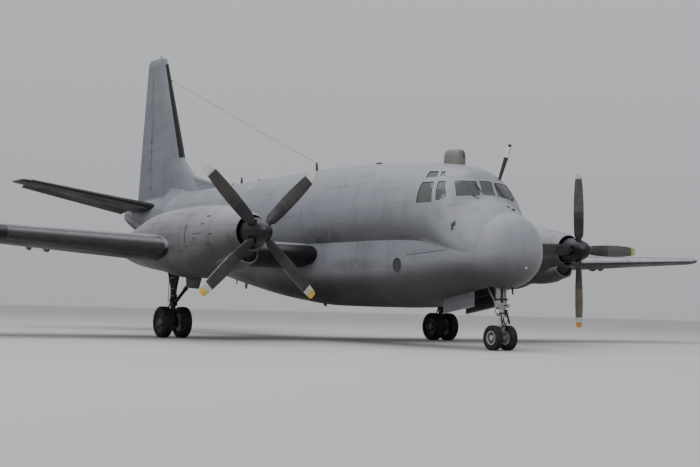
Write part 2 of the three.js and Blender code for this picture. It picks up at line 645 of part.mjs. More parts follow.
const hingeColumn = (levels, spare) => joined(...levels.slice(1).map((top, i) => rod(
  [0, HINGE_Y, levels[i]], [0, HINGE_Y, top],
  rudderRadius(levels[i]) + spare, rudderRadius(top) + spare, 20,
)));
const rudder = finWhole
  .intersect(block([-400, HINGE_Y, RUDDER_BOTTOM_Z], [400, 15200, RUDDER_TOP_Z]))
  .add(hingeColumn(RUDDER_LEVELS, 0))
  .add(rod(
    [0, HINGE_Y, RUDDER_BOTTOM_Z - CLEAR + FIT],
    [0, HINGE_Y, RUDDER_TOP_Z + CLEAR - FIT],
    PIN_RADIUS,
  ));
const rudderRoom = joined(
  block([-400, HINGE_Y, RUDDER_BOTTOM_Z - CLEAR], [400, 15200, RUDDER_TOP_Z + CLEAR]),
  hingeColumn([RUDDER_BOTTOM_Z - CLEAR, ...RUDDER_LEVELS.slice(1, -1), RUDDER_TOP_Z + CLEAR], CLEAR + 4),
);
const filletSection = (y, height, halfWidth) => {
  const shoulderZ = height * 0.75 + FIN_BOTTOM_Z * 0.25;
  const outline = [
    [-halfWidth, FIN_BOTTOM_Z],
    [halfWidth, FIN_BOTTOM_Z],
    [halfWidth * 0.5, shoulderZ],
    [0, height],
    [-halfWidth * 0.5, shoulderZ],
  ];
  return outline.map(([x, z]) => new THREE.Vector3(x, y, z));
};
const finFillet = loft([
  filletSection(6900, 5560, 30),
  filletSection(9560, 6200, 120),
  filletSection(10420, 6800, 150),
  filletSection(11200, 6900, 150),
]);
const finCavity = loft(FIN_STATIONS.slice(0, 4).map(({ z, leading, trailing, thickness }) => {
  const chord = trailing - leading;
  const toShare = (HINGE_Y - 380 - leading) / chord;
  const half = Array.from({ length: CAVITY_STEPS + 1 }, (_, i) => {
    const share = 0.05 + (toShare - 0.05) * (i / CAVITY_STEPS);
    return [leading + share * chord, Math.max(halfDepth(chord, thickness, share) - FIN_SKIN, 4)];
  });
  const otherSide = [...half].reverse().map(([y, depth]) => [y, -depth]);
  return [...half, ...otherSide].map(([y, depth]) => new THREE.Vector3(depth, y, z));
}));
const fuselageRoom = fuselageForm(CENTRE_END_Y, REAR_END_Y, -FIT)
  .add(fuselageForm(REAR_END_Y, TAIL_END_Y, -FIT));
const fin = finWhole.add(finFillet).subtract(rudderRoom).subtract(finCavity).subtract(fuselageRoom);
add('fin', largest(fin), PAINT);
add('rudder', rudder, PAINT);

// Tailplane and elevators
const tailplaneStation = (x, leading, chord, thickness) => ({
  x, leading, chord, z: TAILPLANE_Z + TAILPLANE_RISE * x, thickness,
});
const TAILPLANE_STATIONS = [
  tailplaneStation(0, 10900, 3300, 0.12),
  tailplaneStation(TAILPLANE_TIP_X - 250, 12450, 1700, 0.11),
];
const TAILPLANE_TIP = [
  TAILPLANE_STATIONS[1],
  tailplaneStation(TAILPLANE_TIP_X - 80, 12530, 1590, 0.08),
  tailplaneStation(TAILPLANE_TIP_X, 12760, 1200, 0.03),
];
const ELEVATOR_SHARE = 0.66;
const ELEVATOR_DROOP = -12; // parked with their trailing edges down
const ELEVATOR_ROOT_X = 1150;
const ELEVATOR_TIP_X = TAILPLANE_TIP_X - 430;
const elevator = controlSurface(TAILPLANE_STATIONS, ELEVATOR_ROOT_X, ELEVATOR_TIP_X,
  ELEVATOR_SHARE, ELEVATOR_DROOP);
const tailCavity = cavity([TAILPLANE_STATIONS[0], between(TAILPLANE_STATIONS, TAILPLANE_TIP_X - 700)],
  0.04, ELEVATOR_SHARE - 0.09, FIN_SKIN);
const tailplane = flatSurface(TAILPLANE_STATIONS)
  .add(flatSurface(TAILPLANE_TIP))
  .subtract(fuselageRoom)
  .subtract(elevator.cut)
  .subtract(tailCavity);
addPair('tailplane', largest(tailplane), PAINT);
addPair('elevator', elevator.surface, PAINT);

// Nacelle: hollow cowling with an annular intake, an oil cooler duct below, and the gear bay behind
const COOLER = { y: -5970, z: 2460, halfWidth: 330, halfHeight: 250, sweep: 120 };
const COOLER_SIDES = 12;
const COOLER_LIP = 28;
// A ring across a duct, its sides swept aft of its middle
const ductRing = (y, z, halfWidth, halfHeight, sweep = 0) => {
  const place = (_, i) => {
    const angle = (i / COOLER_SIDES) * 2 * Math.PI;
    const across = Math.cos(angle);
    return new THREE.Vector3(
      HUB_X + halfWidth * across,
      y + sweep * across ** 2,
      z + halfHeight * Math.sin(angle),
    );
  };
  return Array.from({ length: COOLER_SIDES }, place);
};
const coolerOuter = loft([
  ductRing(COOLER.y, COOLER.z, COOLER.halfWidth, COOLER.halfHeight, COOLER.sweep),
  ductRing(-5450, 2430, 400, 340),
  ductRing(-4700, 2340, 380, 340),
  ductRing(-3700, 2400, 300, 300),
]);
const coolerDuct = loft([
  ductRing(COOLER.y - 20, COOLER.z, COOLER.halfWidth - COOLER_LIP, COOLER.halfHeight - COOLER_LIP,
    COOLER.sweep),
  ductRing(-5450, 2430, 330, 270),
  ductRing(-4800, 2430, 300, 250),
]);
const bulkheadPlate = nacelleForm(NACELLE_SKIN - 4)
  .intersect(block([HUB_X - 1100, FIREWALL_Y, 1500], [HUB_X + 1100, FIREWALL_Y + 40, 4200]));
const sparBox = nacelleForm(NACELLE_SKIN - 4)
  .intersect(block([HUB_X - 1100, -1950, SPAR_BOTTOM_Z], [HUB_X + 1100, 600, 3000]));
const MAIN_BAY = { inner: GEAR_X - 150, outer: GEAR_X + 560, front: -3050, rear: 480, top: SPAR_BOTTOM_Z };
const mainBayCut = block(
  [MAIN_BAY.inner, MAIN_BAY.front, 1500],
  [MAIN_BAY.outer, MAIN_BAY.rear, MAIN_BAY.top],
);
// Bay doors ahead of the leg: hinge place across, heights of its front and rear ends, door depth, which
// way the door lies from its hinge, and how far its lugs reach up to the skin
const MAIN_DOORS = [
  { place: 'inner', x: MAIN_BAY.inner + 45, frontZ: 2180, rearZ: 2180, depth: 330, sense: 1, rise: 110 },
  { place: 'outer', x: MAIN_BAY.outer - 34, frontZ: 1850, rearZ: 1922, depth: 370, sense: -1, rise: LUG_HALF },
];
const MAIN_DOOR = { front: -3000, rear: -1930, thickness: 26 };
function doorLug(x, y, z, way, towards, rise) {
  const [low, high] = way < 0 ? [y - FIT - LUG, y - FIT] : [y + FIT, y + FIT + LUG];
  return block([Math.min(x - LUG_HALF, x + towards), low, z - LUG_HALF],
    [Math.max(x + LUG_HALF, x + towards), high, z + rise]);
}
const mainLugs = MAIN_DOORS.flatMap(({ x, frontZ, rearZ, sense, rise }) => [
  doorLug(x, MAIN_DOOR.front, frontZ, -1, -60 * sense, rise),
  doorLug(x, MAIN_DOOR.rear, rearZ, 1, -60 * sense, rise),
]);
const intakeInner = nacelleForm(NACELLE_SKIN);
const intakeMouth = loft([-6100, -5980].map((y) => ductRing(y, HUB_Z, LIP_RADIUS - 40, LIP_RADIUS - 40)));
const nacelle = nacelleOuter
  .add(coolerOuter)
  .subtract(intakeInner)
  .subtract(intakeMouth)
  .subtract(coolerDuct)
  .add(bulkheadPlate)
  .add(sparBox)
  .subtract(mainBayCut);
addPair('nacelle', largest(joined(nacelle, ...mainLugs)), PAINT);

// Engine: one plain block on the firewall, with the shaft that carries the propeller
const ENGINE = { halfWidth: 430, bottom: 2650, top: 3470, front: -5500 };
const SHAFT_RADIUS = 110;
const HUB_REAR_Y = -6170;
const engine = joined(
  block([HUB_X - ENGINE.halfWidth, ENGINE.front, ENGINE.bottom],
    [HUB_X + ENGINE.halfWidth, FIREWALL_Y - FIT, ENGINE.top]),
  rod([HUB_X, ENGINE.front + 10, HUB_Z], [HUB_X, -5850, HUB_Z], 260, 200, 20),
  rod([HUB_X, -5700, HUB_Z], [HUB_X, HUB_REAR_Y + 0.5, HUB_Z], SHAFT_RADIUS, SHAFT_RADIUS, 20),
);
addPair('engine', engine, INSIDE);

// Propeller: a hub with four blades, each with a round shank, inside a spinner
const BLADE_STATIONS = [
  // distance from the hub, chord, thickness, twist from the plane of rotation in degrees
  { r: 420, chord: 225, depth: 165, twist: 24 },
  { r: 520, chord: 310, depth: 120, twist: 19 },
  { r: 750, chord: 350, depth: 88, twist: 15 },
  { r: 1400, chord: 378, depth: 52, twist: 8.6 },
  { r: 2050, chord: 318, depth: 32, twist: 4 },
  { r: 2330, chord: 262, depth: 20, twist: 3 },
  { r: PROP_RADIUS, chord: 175, depth: 10, twist: 3 },
];
const BLADE_SIDES = 6;
function blade() {
  const rings = BLADE_STATIONS.map(({ r, chord, depth, twist }) => {
    const angle = -THREE.MathUtils.degToRad(twist);
    return Array.from({ length: BLADE_SIDES }, (_, i) => {
      const around = (i / BLADE_SIDES) * 2 * Math.PI;
      const [across, through] = [(chord / 2) * Math.cos(around), (depth / 2) * Math.sin(around)];
      return new THREE.Vector3(
        across * Math.cos(angle) - through * Math.sin(angle),
        across * Math.sin(angle) + through * Math.cos(angle),
        r,
      );
    });
  });
  return loft(rings).add(rod([0, 0, 150], [0, 0, 450], SHANK_RADIUS - 25, SHANK_RADIUS - 25, 8));
}
const SPINNER_BLUNTNESS = 1.8;
const spinnerProfile = (radius, tip, rear) => {
  const points = [[0, rear], [radius, rear]];
  for (const share of [0.35, 0.65, 0.85, 0.96]) {
    points.push([radius * Math.sqrt(1 - share ** SPINNER_BLUNTNESS), rear + (tip - rear) * share]);
  }
  return [...points, [0, tip]];
};
const SPINNER_SIDES = 16;
const SPINNER_WALL = 16;
const PLATE_THICKNESS = 94;
const spinnerOutline = spinnerProfile(SPINNER_RADIUS, SPINNER_TIP_Y - HUB_Y, SPINNER_REAR_Y - HUB_Y);
const spinnerHollow = spinnerProfile(SPINNER_RADIUS - SPINNER_WALL, SPINNER_TIP_Y - HUB_Y + 3 * SPINNER_WALL,
  SPINNER_REAR_Y - HUB_Y + 40);
// The hollow's radius at a distance aft of the hub, near the spinner's rear edge.
function spinnerInside(along) {
  const [[wide, rear], [narrow, front]] = spinnerHollow.slice(1, 3);
  return wide + ((along - rear) / (front - rear)) * (narrow - wide);
}
function propeller(x, firstAngle) {
  const bladeSolid = blade();
  const rear = HUB_REAR_Y - HUB_Y;
  const plate = rear - PLATE_THICKNESS;
  const hub = turned([[0, -250], [200, -250], [240, -150], [240, 200], [spinnerInside(plate) - FIT, plate],
    [spinnerInside(rear) - FIT, rear], [0, rear]], 'y', [0, 0, 0], SPINNER_SIDES);
  let whole = hub;
  for (let i = 0; i < 4; i += 1) {
    const lean = 90 - firstAngle - 90 * i;
    whole = whole.add(turnedRound(bladeSolid, AXIS_Y, lean, CENTRE));
  }
  return moved(whole, x, HUB_Y, HUB_Z);
}
function spinner(x, firstAngle) {
  const outer = turned(spinnerOutline, 'y', [0, 0, 0], SPINNER_SIDES);
  const inner = turned(spinnerHollow, 'y', [0, 0, 0], SPINNER_SIDES);
  let shell = outer.subtract(inner);
  for (let i = 0; i < 4; i += 1) {
    const hole = rod([0, 0, 220], [0, 0, 600], SHANK_RADIUS + 16, SHANK_RADIUS + 16, 8);
    shell = shell.subtract(turnedRound(hole, AXIS_Y, 90 - firstAngle - 90 * i, CENTRE));
  }
  return moved(shell, x, HUB_Y, HUB_Z);
}
const PROPELLERS = [['port', HUB_X, PORT_BLADE_ANGLE], ['starboard', -HUB_X, STARBOARD_BLADE_ANGLE]];
for (const [side, x, angle] of PROPELLERS) {
  add(`propeller_${side}`, propeller(x, angle), BLACK);
  add(`spinner_${side}`, spinner(x, angle), BLACK);
}

// Wheels: a tyre profile and a rim profile turned about the axle
function tyre(x, y, radius, width, rimRadius, sides) {
  const half = width / 2;
  const outline = [
    [rimRadius + FIT, -half * 0.72], [rimRadius + 0.4 * (radius - rimRadius), -half],
    [radius - 0.05 * radius, -half * 0.75], [radius, -half * 0.35],
    [radius, half * 0.35], [radius - 0.05 * radius, half * 0.75],
    [rimRadius + 0.4 * (radius - rimRadius), half], [rimRadius + FIT, half * 0.72],
  ];
  return turned([...outline, outline[0]], 'x', [x, y, radius], sides);
}
function wheelPair(x, y, radius, spacing, width, rimRadius, axleRadius, sides) {
  const half = width * 0.36;
  const one = (centre, out) => {
    const dish = half * 0.45;
    const outline = [
      [0, -half * 0.7], [rimRadius, -half * 0.7], [rimRadius, half],
      [rimRadius * 0.85, half], [rimRadius * 0.78, dish], [axleRadius * 1.7, dish],
      [axleRadius * 1.5, half * 0.9], [0, half * 0.9],
    ].map(([r, along]) => [r, along * out]);
    return turned(outline, 'x', [centre, y, radius], sides);
  };
  return joined(
    one(x - spacing / 2, -1),
    one(x + spacing / 2, 1),
    rod([x - spacing / 2, y, radius], [x + spacing / 2, y, radius], axleRadius, axleRadius, 16),
  );
}

const MAIN_SIDES = 16;
const NOSE_SIDES = 16;
addPair('main_wheels', wheelPair(GEAR_X, 0, MAIN_TYRE_RADIUS, MAIN_TWIN_SPACING, MAIN_TYRE_WIDTH,
  MAIN_RIM_RADIUS, MAIN_AXLE_RADIUS, MAIN_SIDES), GEAR_GREY);
for (const [place, offset] of [['inner', -0.5], ['outer', 0.5]]) {
  addPair(`main_tyre_${place}`, tyre(GEAR_X + offset * MAIN_TWIN_SPACING, 0, MAIN_TYRE_RADIUS,
    MAIN_TYRE_WIDTH, MAIN_RIM_RADIUS, MAIN_SIDES), RUBBER);
}
add('nose_wheels', wheelPair(0, NOSE_GEAR_Y, NOSE_TYRE_RADIUS, NOSE_TWIN_SPACING, NOSE_TYRE_WIDTH,
  NOSE_RIM_RADIUS, NOSE_AXLE_RADIUS, NOSE_SIDES), SILVER);
add('nose_tyre_port', tyre(NOSE_TWIN_SPACING / 2, NOSE_GEAR_Y, NOSE_TYRE_RADIUS, NOSE_TYRE_WIDTH,
  NOSE_RIM_RADIUS, NOSE_SIDES), RUBBER);
add('nose_tyre_starboard', tyre(-NOSE_TWIN_SPACING / 2, NOSE_GEAR_Y, NOSE_TYRE_RADIUS, NOSE_TYRE_WIDTH,
  NOSE_RIM_RADIUS, NOSE_SIDES), RUBBER);

// A bore for an axle: its flats face the axle's corners and stay clear of them.
const BORE_GAP = 0.8;
const boreFor = (x, y, z, halfLength, radius) => turned([[0, -halfLength], [radius + BORE_GAP, -halfLength],
  [radius + BORE_GAP, halfLength], [0, halfLength]], 'x', [x, y, z], 16);

// Main leg: cylinder under the nacelle's spar box, piston, axle lug, side stays and drag brace
const MAIN_LUG = 70;
const MAIN_LEG_TOP = SPAR_BOTTOM_Z - FIT;
const mainLeg = joined(
  block([GEAR_X - 110, -150, MAIN_LEG_TOP - 60], [GEAR_X + 110, 150, MAIN_LEG_TOP]),
  rod([GEAR_X, 0, 1130], [GEAR_X, 0, MAIN_LEG_TOP - 10], 104, 104, 12),
  rod([GEAR_X, 0, MAIN_TYRE_RADIUS], [GEAR_X, 0, 1140], 85, 85, 12),
  rod([GEAR_X - MAIN_LUG, 0, MAIN_TYRE_RADIUS], [GEAR_X + MAIN_LUG, 0, MAIN_TYRE_RADIUS], 130, 130, 16),
  rod([GEAR_X, -60, 1040], [GEAR_X, -1750, 2060], 62, 62, 8),
  block([GEAR_X - 75, -1850, 2010], [GEAR_X + 75, -1650, MAIN_LEG_TOP]),
  rod([GEAR_X, 40, 1400], [GEAR_X, 350, 2050], 60, 60, 8),
  rod([GEAR_X, 350, 2020], [GEAR_X, 350, MAIN_LEG_TOP], 60, 60, 8),
  rod([GEAR_X, -40, 1400], [GEAR_X, -310, 2050], 72, 72, 8),
  rod([GEAR_X, -310, 2020], [GEAR_X, -310, MAIN_LEG_TOP], 72, 72, 8),
  prism([[60, 560], [250, 800], [230, 830], [60, 700]], 'x', GEAR_X - 50, GEAR_X + 50),
  prism([[60, 1180], [60, 1040], [235, 790], [260, 815]], 'x', GEAR_X - 50, GEAR_X + 50),
).subtract(boreFor(GEAR_X, 0, MAIN_TYRE_RADIUS, 200, MAIN_AXLE_RADIUS));
addPair('main_leg', mainLeg, GEAR_GREY);

// A door that hangs straight down from a hinge rod: front and rear ends of the rod, and the lower edge
function hangingDoor(x, front, rear, lowerEdge, thickness, sense) {
  const panelTop = [[front[0] + 6, front[1]], [rear[0] - 6, rear[1]]];
  const panel = prism([...panelTop, ...lowerEdge], 'x', Math.min(x, x + sense * thickness),
    Math.max(x, x + sense * thickness));
  const slope = (rear[1] - front[1]) / (rear[0] - front[0]);
  const inset = PIN_RADIUS * Math.abs(slope);
  return panel.add(rod([x, front[0] + inset, front[1] + inset * slope],
    [x, rear[0] - inset, rear[1] - inset * slope], PIN_RADIUS, PIN_RADIUS, 8));
}
for (const { place, x, frontZ, rearZ, depth, sense } of MAIN_DOORS) {
  const lowerEdge = [[MAIN_DOOR.rear - 70, rearZ - depth], [MAIN_DOOR.front + 180, frontZ - depth + 40]];
  addPair(`main_bay_door_${place}`, hangingDoor(x, [MAIN_DOOR.front, frontZ], [MAIN_DOOR.rear, rearZ],
    lowerEdge, MAIN_DOOR.thickness, sense), GEAR_GREY);
}

// Nose leg, its steered fork and the bay's rear doors
const NOSE_LEG_TOP = NOSE_BAY_ROOF_Z - FIT;
const noseLeg = joined(
  block([-300, NOSE_GEAR_Y - 90, NOSE_LEG_TOP - 260], [300, NOSE_GEAR_Y + 130, NOSE_LEG_TOP]),
  rod([-95, NOSE_GEAR_Y, 1210], [-95, NOSE_GEAR_Y, NOSE_LEG_TOP - 100], 62, 62, 10),
  rod([95, NOSE_GEAR_Y, 1210], [95, NOSE_GEAR_Y, NOSE_LEG_TOP - 100], 62, 62, 10),
  rod([0, NOSE_GEAR_Y, NOSE_COLLAR_Z], [0, NOSE_GEAR_Y, 1290], 150, 150, 16),
  rod([-225, NOSE_GEAR_Y - 60, 1215], [225, NOSE_GEAR_Y - 60, 1215], 52, 52, 8),
  rod([-110, NOSE_GEAR_Y + 60, 1230], [-110, NOSE_GEAR_Y + 620, 1960], 34, 34, 8),
  rod([110, NOSE_GEAR_Y + 60, 1230], [110, NOSE_GEAR_Y + 620, 1960], 34, 34, 8),
  block([-150, NOSE_GEAR_Y + 560, 1900], [150, NOSE_GEAR_Y + 680, NOSE_LEG_TOP]),
);
add('nose_leg', noseLeg, SILVER);
const NOSE_LUG = 46;
const NOSE_LINK = 34;
const besideNoseAxle = (outline) => outline.map(([y, z]) => [NOSE_GEAR_Y + y, z]);
const noseFork = joined(
  rod([0, NOSE_GEAR_Y, 940], [0, NOSE_GEAR_Y, NOSE_COLLAR_Z - 0.5], 120, 150, 16),
  rod([0, NOSE_GEAR_Y, NOSE_TYRE_RADIUS], [0, NOSE_GEAR_Y, 950], 62, 62, 12),
  rod([-NOSE_LUG, NOSE_GEAR_Y, NOSE_TYRE_RADIUS], [NOSE_LUG, NOSE_GEAR_Y, NOSE_TYRE_RADIUS], 80, 80, 16),
  prism(besideNoseAxle([[-50, 420], [-190, 640], [-170, 665], [-50, 520]]), 'x', -NOSE_LINK, NOSE_LINK),
  prism(besideNoseAxle([[-60, 800], [-165, 640], [-195, 665], [-60, 930]]), 'x', -NOSE_LINK, NOSE_LINK),
).subtract(boreFor(0, NOSE_GEAR_Y, NOSE_TYRE_RADIUS, 200, NOSE_AXLE_RADIUS));
add('nose_fork', noseFork, SILVER);

const noseDoor = hangingDoor(NOSE_DOOR.x,
  [NOSE_DOOR.front, NOSE_DOOR.frontZ], [NOSE_DOOR.rear, NOSE_DOOR.rearZ],
  [[NOSE_DOOR.rear - 12, 968], [-8300, 1062], [NOSE_DOOR.front + 8, 1195]], NOSE_DOOR.thickness, -1);
addPair('nose_bay_door', noseDoor, PALE_PAINT);

// Pod and mast on the spine
const spine = fuselageForm(NOSE_SEAM_Y, FORWARD_END_Y - FIT, -FIT);
const POD = { front: -7870, rear: -7250, halfWidth: 210, low: 4950, top: 5700, round: 110 };
const podSection = (y, inset) => {
  const side = POD.halfWidth - inset;
  const high = POD.top - inset;
  const corner = side - POD.round * 0.3;
  const cornerZ = high - POD.round * 0.3;
  const outline = [
    [-side, POD.low],
    [side, POD.low],
    [side, high - POD.round],
    [corner, cornerZ],
    [side - POD.round, high],
    [POD.round - side, high],
    [-corner, cornerZ],
    [-side, high - POD.round],
  ];
  return outline.map(([x, z]) => new THREE.Vector3(x, y, z));
};
const pod = loft([
  podSection(POD.front, 130),
  podSection(POD.front + 30, 70),
  podSection(POD.front + 90, 22),
  podSection(POD.front + 170, 0),
  podSection(POD.rear - 150, 0),
  podSection(POD.rear - 40, 8),
  podSection(POD.rear, 40),
]).subtract(spine);
add('dorsal_pod', largest(pod), BEIGE);
const MAST = {
  foot: [650, -8640, 4440],
  collar: [802, -8860, 5335],
  tip: [880, -8970, 5790],
  radius: 34,
  collarRadius: 60,
  tipRadius: 52,
};
const mast = rod(MAST.foot, MAST.collar, MAST.radius, MAST.collarRadius, 12)
  .add(rod(MAST.collar, MAST.tip, MAST.collarRadius, MAST.tipRadius, 12))
  .subtract(spine);
add('mast_antenna', largest(mast), BLACK);

export default aircraft;
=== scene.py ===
import math

import bmesh
import bpy
import numpy as np
from mathutils import Matrix, Vector


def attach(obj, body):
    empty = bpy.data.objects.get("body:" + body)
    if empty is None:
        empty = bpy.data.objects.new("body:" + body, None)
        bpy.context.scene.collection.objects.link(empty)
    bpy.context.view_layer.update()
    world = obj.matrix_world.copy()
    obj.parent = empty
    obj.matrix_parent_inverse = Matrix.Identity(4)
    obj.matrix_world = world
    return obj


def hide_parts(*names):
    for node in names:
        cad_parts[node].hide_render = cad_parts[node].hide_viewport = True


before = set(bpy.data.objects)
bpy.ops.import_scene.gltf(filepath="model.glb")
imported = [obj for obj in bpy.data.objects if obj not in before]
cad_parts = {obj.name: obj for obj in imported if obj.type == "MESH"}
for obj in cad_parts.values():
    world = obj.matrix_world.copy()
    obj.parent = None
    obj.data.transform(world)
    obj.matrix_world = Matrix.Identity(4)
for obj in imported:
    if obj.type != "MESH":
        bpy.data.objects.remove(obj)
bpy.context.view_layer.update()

# Twin-turboprop transport plane. Metres. Stations (y) are counted from the main wheels' axle;
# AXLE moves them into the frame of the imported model.
AXLE = -2.672
SIDES = (("port", 1), ("starboard", -1))
UP, AFT = (0, 0, 1), (0, 1, 0)
COLLECTION = bpy.context.scene.collection


def around(count):
    """Angles once round a circle."""
    return np.linspace(0, 2 * math.pi, count, endpoint=False)


# Materials

class Shader:
    """One principled material with procedural nodes; values may be numbers, colours or sockets."""

    def __init__(self, name, **constants):
        self.material = bpy.data.materials.new(name)
        self.material.use_nodes = True
        self.tree = self.material.node_tree
        self.tree.nodes.clear()
        output = self.tree.nodes.new("ShaderNodeOutputMaterial")
        self.bsdf = self.tree.nodes.new("ShaderNodeBsdfPrincipled")
        self.tree.links.new(self.bsdf.outputs[0], output.inputs[0])
        self.place = self.tree.nodes.new("ShaderNodeTexCoord").outputs["Object"]
        for key, value in constants.items():
            self.bsdf.inputs[key.replace("_", " ")].default_value = value

    def feed(self, socket, value):
        if isinstance(value, bpy.types.NodeSocket):
            self.tree.links.new(value, socket)
        elif isinstance(value, tuple) and len(value) == 3 and socket.type == "RGBA":
            socket.default_value = (*value, 1)
        else:
            socket.default_value = value

    def node(self, kind, inputs=(), out=0, **settings):
        made = self.tree.nodes.new("ShaderNode" + kind)
        for key, value in settings.items():
            setattr(made, key, value)
        for key, value in dict(inputs).items():
            self.feed(made.inputs[key], value)
        return made.outputs[out]

    def math(self, operation, a, b=0.0, c=0.0):
        return self.node("Math", {0: a, 1: b, 2: c}, operation=operation)

    def axis(self, index, place=None):
        split = self.tree.nodes.new("ShaderNodeSeparateXYZ")
        self.feed(split.inputs[0], place or self.place)
        return split.outputs[index]

    def scaled(self, factors):
        return self.node("Mapping", {"Vector": self.place, "Scale": factors})

    def noise(self, scale, detail=4.0, roughness=0.55, place=None):
        return self.node("TexNoise", {"Vector": place or self.place, "Scale": scale, "Detail": detail,
                                      "Roughness": roughness})

    def ramp(self, value, low, high, start=0.0, end=1.0):
        return self.node("MapRange", {0: value, 1: low, 2: high, 3: start, 4: end},
                         interpolation_type="SMOOTHSTEP")

    def mix(self, share, a, b):
        return self.node("Mix", {0: share, 6: a, 7: b}, out=2, data_type="RGBA")

    def darken(self, colour, share, depth):
        """colour times (1 - depth * share)."""
        factor = self.math("MULTIPLY_ADD", share, -depth, 1.0)
        grey = self.node("CombineXYZ", {0: factor, 1: factor, 2: factor})
        return self.node("VectorMath", {0: colour, 1: grey}, operation="MULTIPLY")

    def line(self, value, spacing, width, shift=0.0):
        """1 on thin lines a spacing apart, 0 between them."""
        away = self.math("PINGPONG", self.math("ADD", value, shift), spacing / 2)
        return self.ramp(away, 0.0, width, 1.0, 0.0)

    def most(self, *values):
        best = values[0]
        for value in values[1:]:
            best = self.math("MAXIMUM", best, value)
        return best

    def bump(self, height, strength, distance):
        made = self.node("Bump", {"Strength": strength, "Distance": distance, "Height": height})
        self.feed(self.bsdf.inputs["Normal"], made)

    def done(self, colour, roughness=None, metallic=None):
        self.feed(self.bsdf.inputs["Base Color"], colour)
        if roughness is not None:
            self.feed(self.bsdf.inputs["Roughness"], roughness)
        if metallic is not None:
            self.feed(self.bsdf.inputs["Metallic"], metallic)
        return self.material


SEAM_WIDTH, HALO_WIDTH = 0.011, 0.075
# Tone of the painted shade and dirt on surfaces that face down
UNDERSIDE_SHADE_AND_DIRT = (0.011, 0.0095, 0.008)
# Tone that the paint darkens to towards the bottom
LOW_DARK_TONE = (0.075, 0.068, 0.062)


def painted(name, colour, seams, rough=0.42, grime=0.35, underside_shade_and_dirt=0.0, seam_depth=0.3, dark_patches=(), low=None,
            turn=(0.15, -0.7), **constants):
    """Weathered satin paint on sheet metal.

    seams are (axis, spacing, shift) of the joints between sheets. The darker patches on the starboard side
    are given as (station, height, half-length, half-height, depth). low is (upper height, lower height,
    share) of a darker, browner tone towards the bottom. Surfaces that face down take painted shade and dirt,
    up to the share given for these, as the normal's height goes through turn.
    """
    s = Shader(name, **constants)
    lines = [s.line(s.axis(axis), spacing, SEAM_WIDTH, shift) for axis, spacing, shift in seams]
    halo = [s.line(s.axis(axis), spacing, HALO_WIDTH, shift) for axis, spacing, shift in seams]
    broad = s.noise(0.55, 5.0, 0.6)
    streaks = s.noise(1.0, 5.0, 0.6, s.scaled((3.5, 0.45, 3.5)))
    runs = s.noise(1.0, 4.0, 0.6, s.scaled((2.6, 2.6, 0.5)))
    tone = s.darken(colour, s.ramp(broad, 0.35, 0.7), 0.14)
    tone = s.darken(tone, s.ramp(streaks, 0.5, 0.72), grime * 0.45)
    tone = s.darken(tone, s.ramp(runs, 0.52, 0.75), grime * 0.4)
    tone = s.darken(tone, s.math("MULTIPLY", s.most(*halo), s.ramp(s.noise(1.1), 0.46, 0.68)), grime * 0.42)
    tone = s.darken(tone, s.most(*lines), seam_depth)
    # Darker patches, on the starboard side only
    for y, z, half_y, half_z, depth in dark_patches:
        across = s.math("DIVIDE", s.math("SUBTRACT", s.axis(1), y + AXLE), half_y)
        up = s.math("DIVIDE", s.math("SUBTRACT", s.axis(2), z), half_z)
        away = s.math("ADD", s.math("MULTIPLY", across, across), s.math("MULTIPLY", up, up))
        share = s.math("MULTIPLY", s.ramp(away, 1.4, 0.1), s.ramp(s.axis(0), 0.4, -0.4))
        tone = s.darken(tone, s.math("MULTIPLY", share, s.ramp(s.noise(2.6), 0.3, 0.55)), depth)
    # Darker and browner towards the bottom
    if low:
        tone = s.mix(s.math("MULTIPLY", s.ramp(s.axis(2), low[0], low[1]), low[2]), tone, LOW_DARK_TONE)
    # Painted shade, with some dirt, on surfaces that face down, by how far the normal points down
    if underside_shade_and_dirt:
        facing = s.axis(2, s.node("NewGeometry", out=1))
        tone = s.mix(s.math("MULTIPLY", s.ramp(facing, *turn), underside_shade_and_dirt), tone, UNDERSIDE_SHADE_AND_DIRT)
    fine = s.noise(38.0, 3.0)
    s.bump(s.math("MULTIPLY_ADD", s.most(*lines), -1.0, s.math("MULTIPLY", fine, 0.06)), 0.35, 0.012)
    dull = s.math("ADD", broad, s.math("MULTIPLY", fine, 0.2))
    return s.done(tone, s.ramp(dull, 0.4, 0.8, rough - 0.05, rough + 0.14))


def plain(name, colour, rough=0.5, metal=0.0, wear=0.25, scale=6.0, bump=0.1, **constants):
    """A single finish with blotches, fine grain and uneven gloss."""
    s = Shader(name, **constants)
    blotch = s.noise(scale, 5.0, 0.6)
    grain = s.noise(scale * 14, 3.0)
    tone = s.darken(colour, s.ramp(blotch, 0.38, 0.68), wear)
    tone = s.darken(tone, s.ramp(grain, 0.4, 0.75), wear * 0.4)
    s.bump(grain, bump, 0.003)
    return s.done(tone, s.ramp(blotch, 0.35, 0.7, rough - 0.07, rough + 0.09), metal)


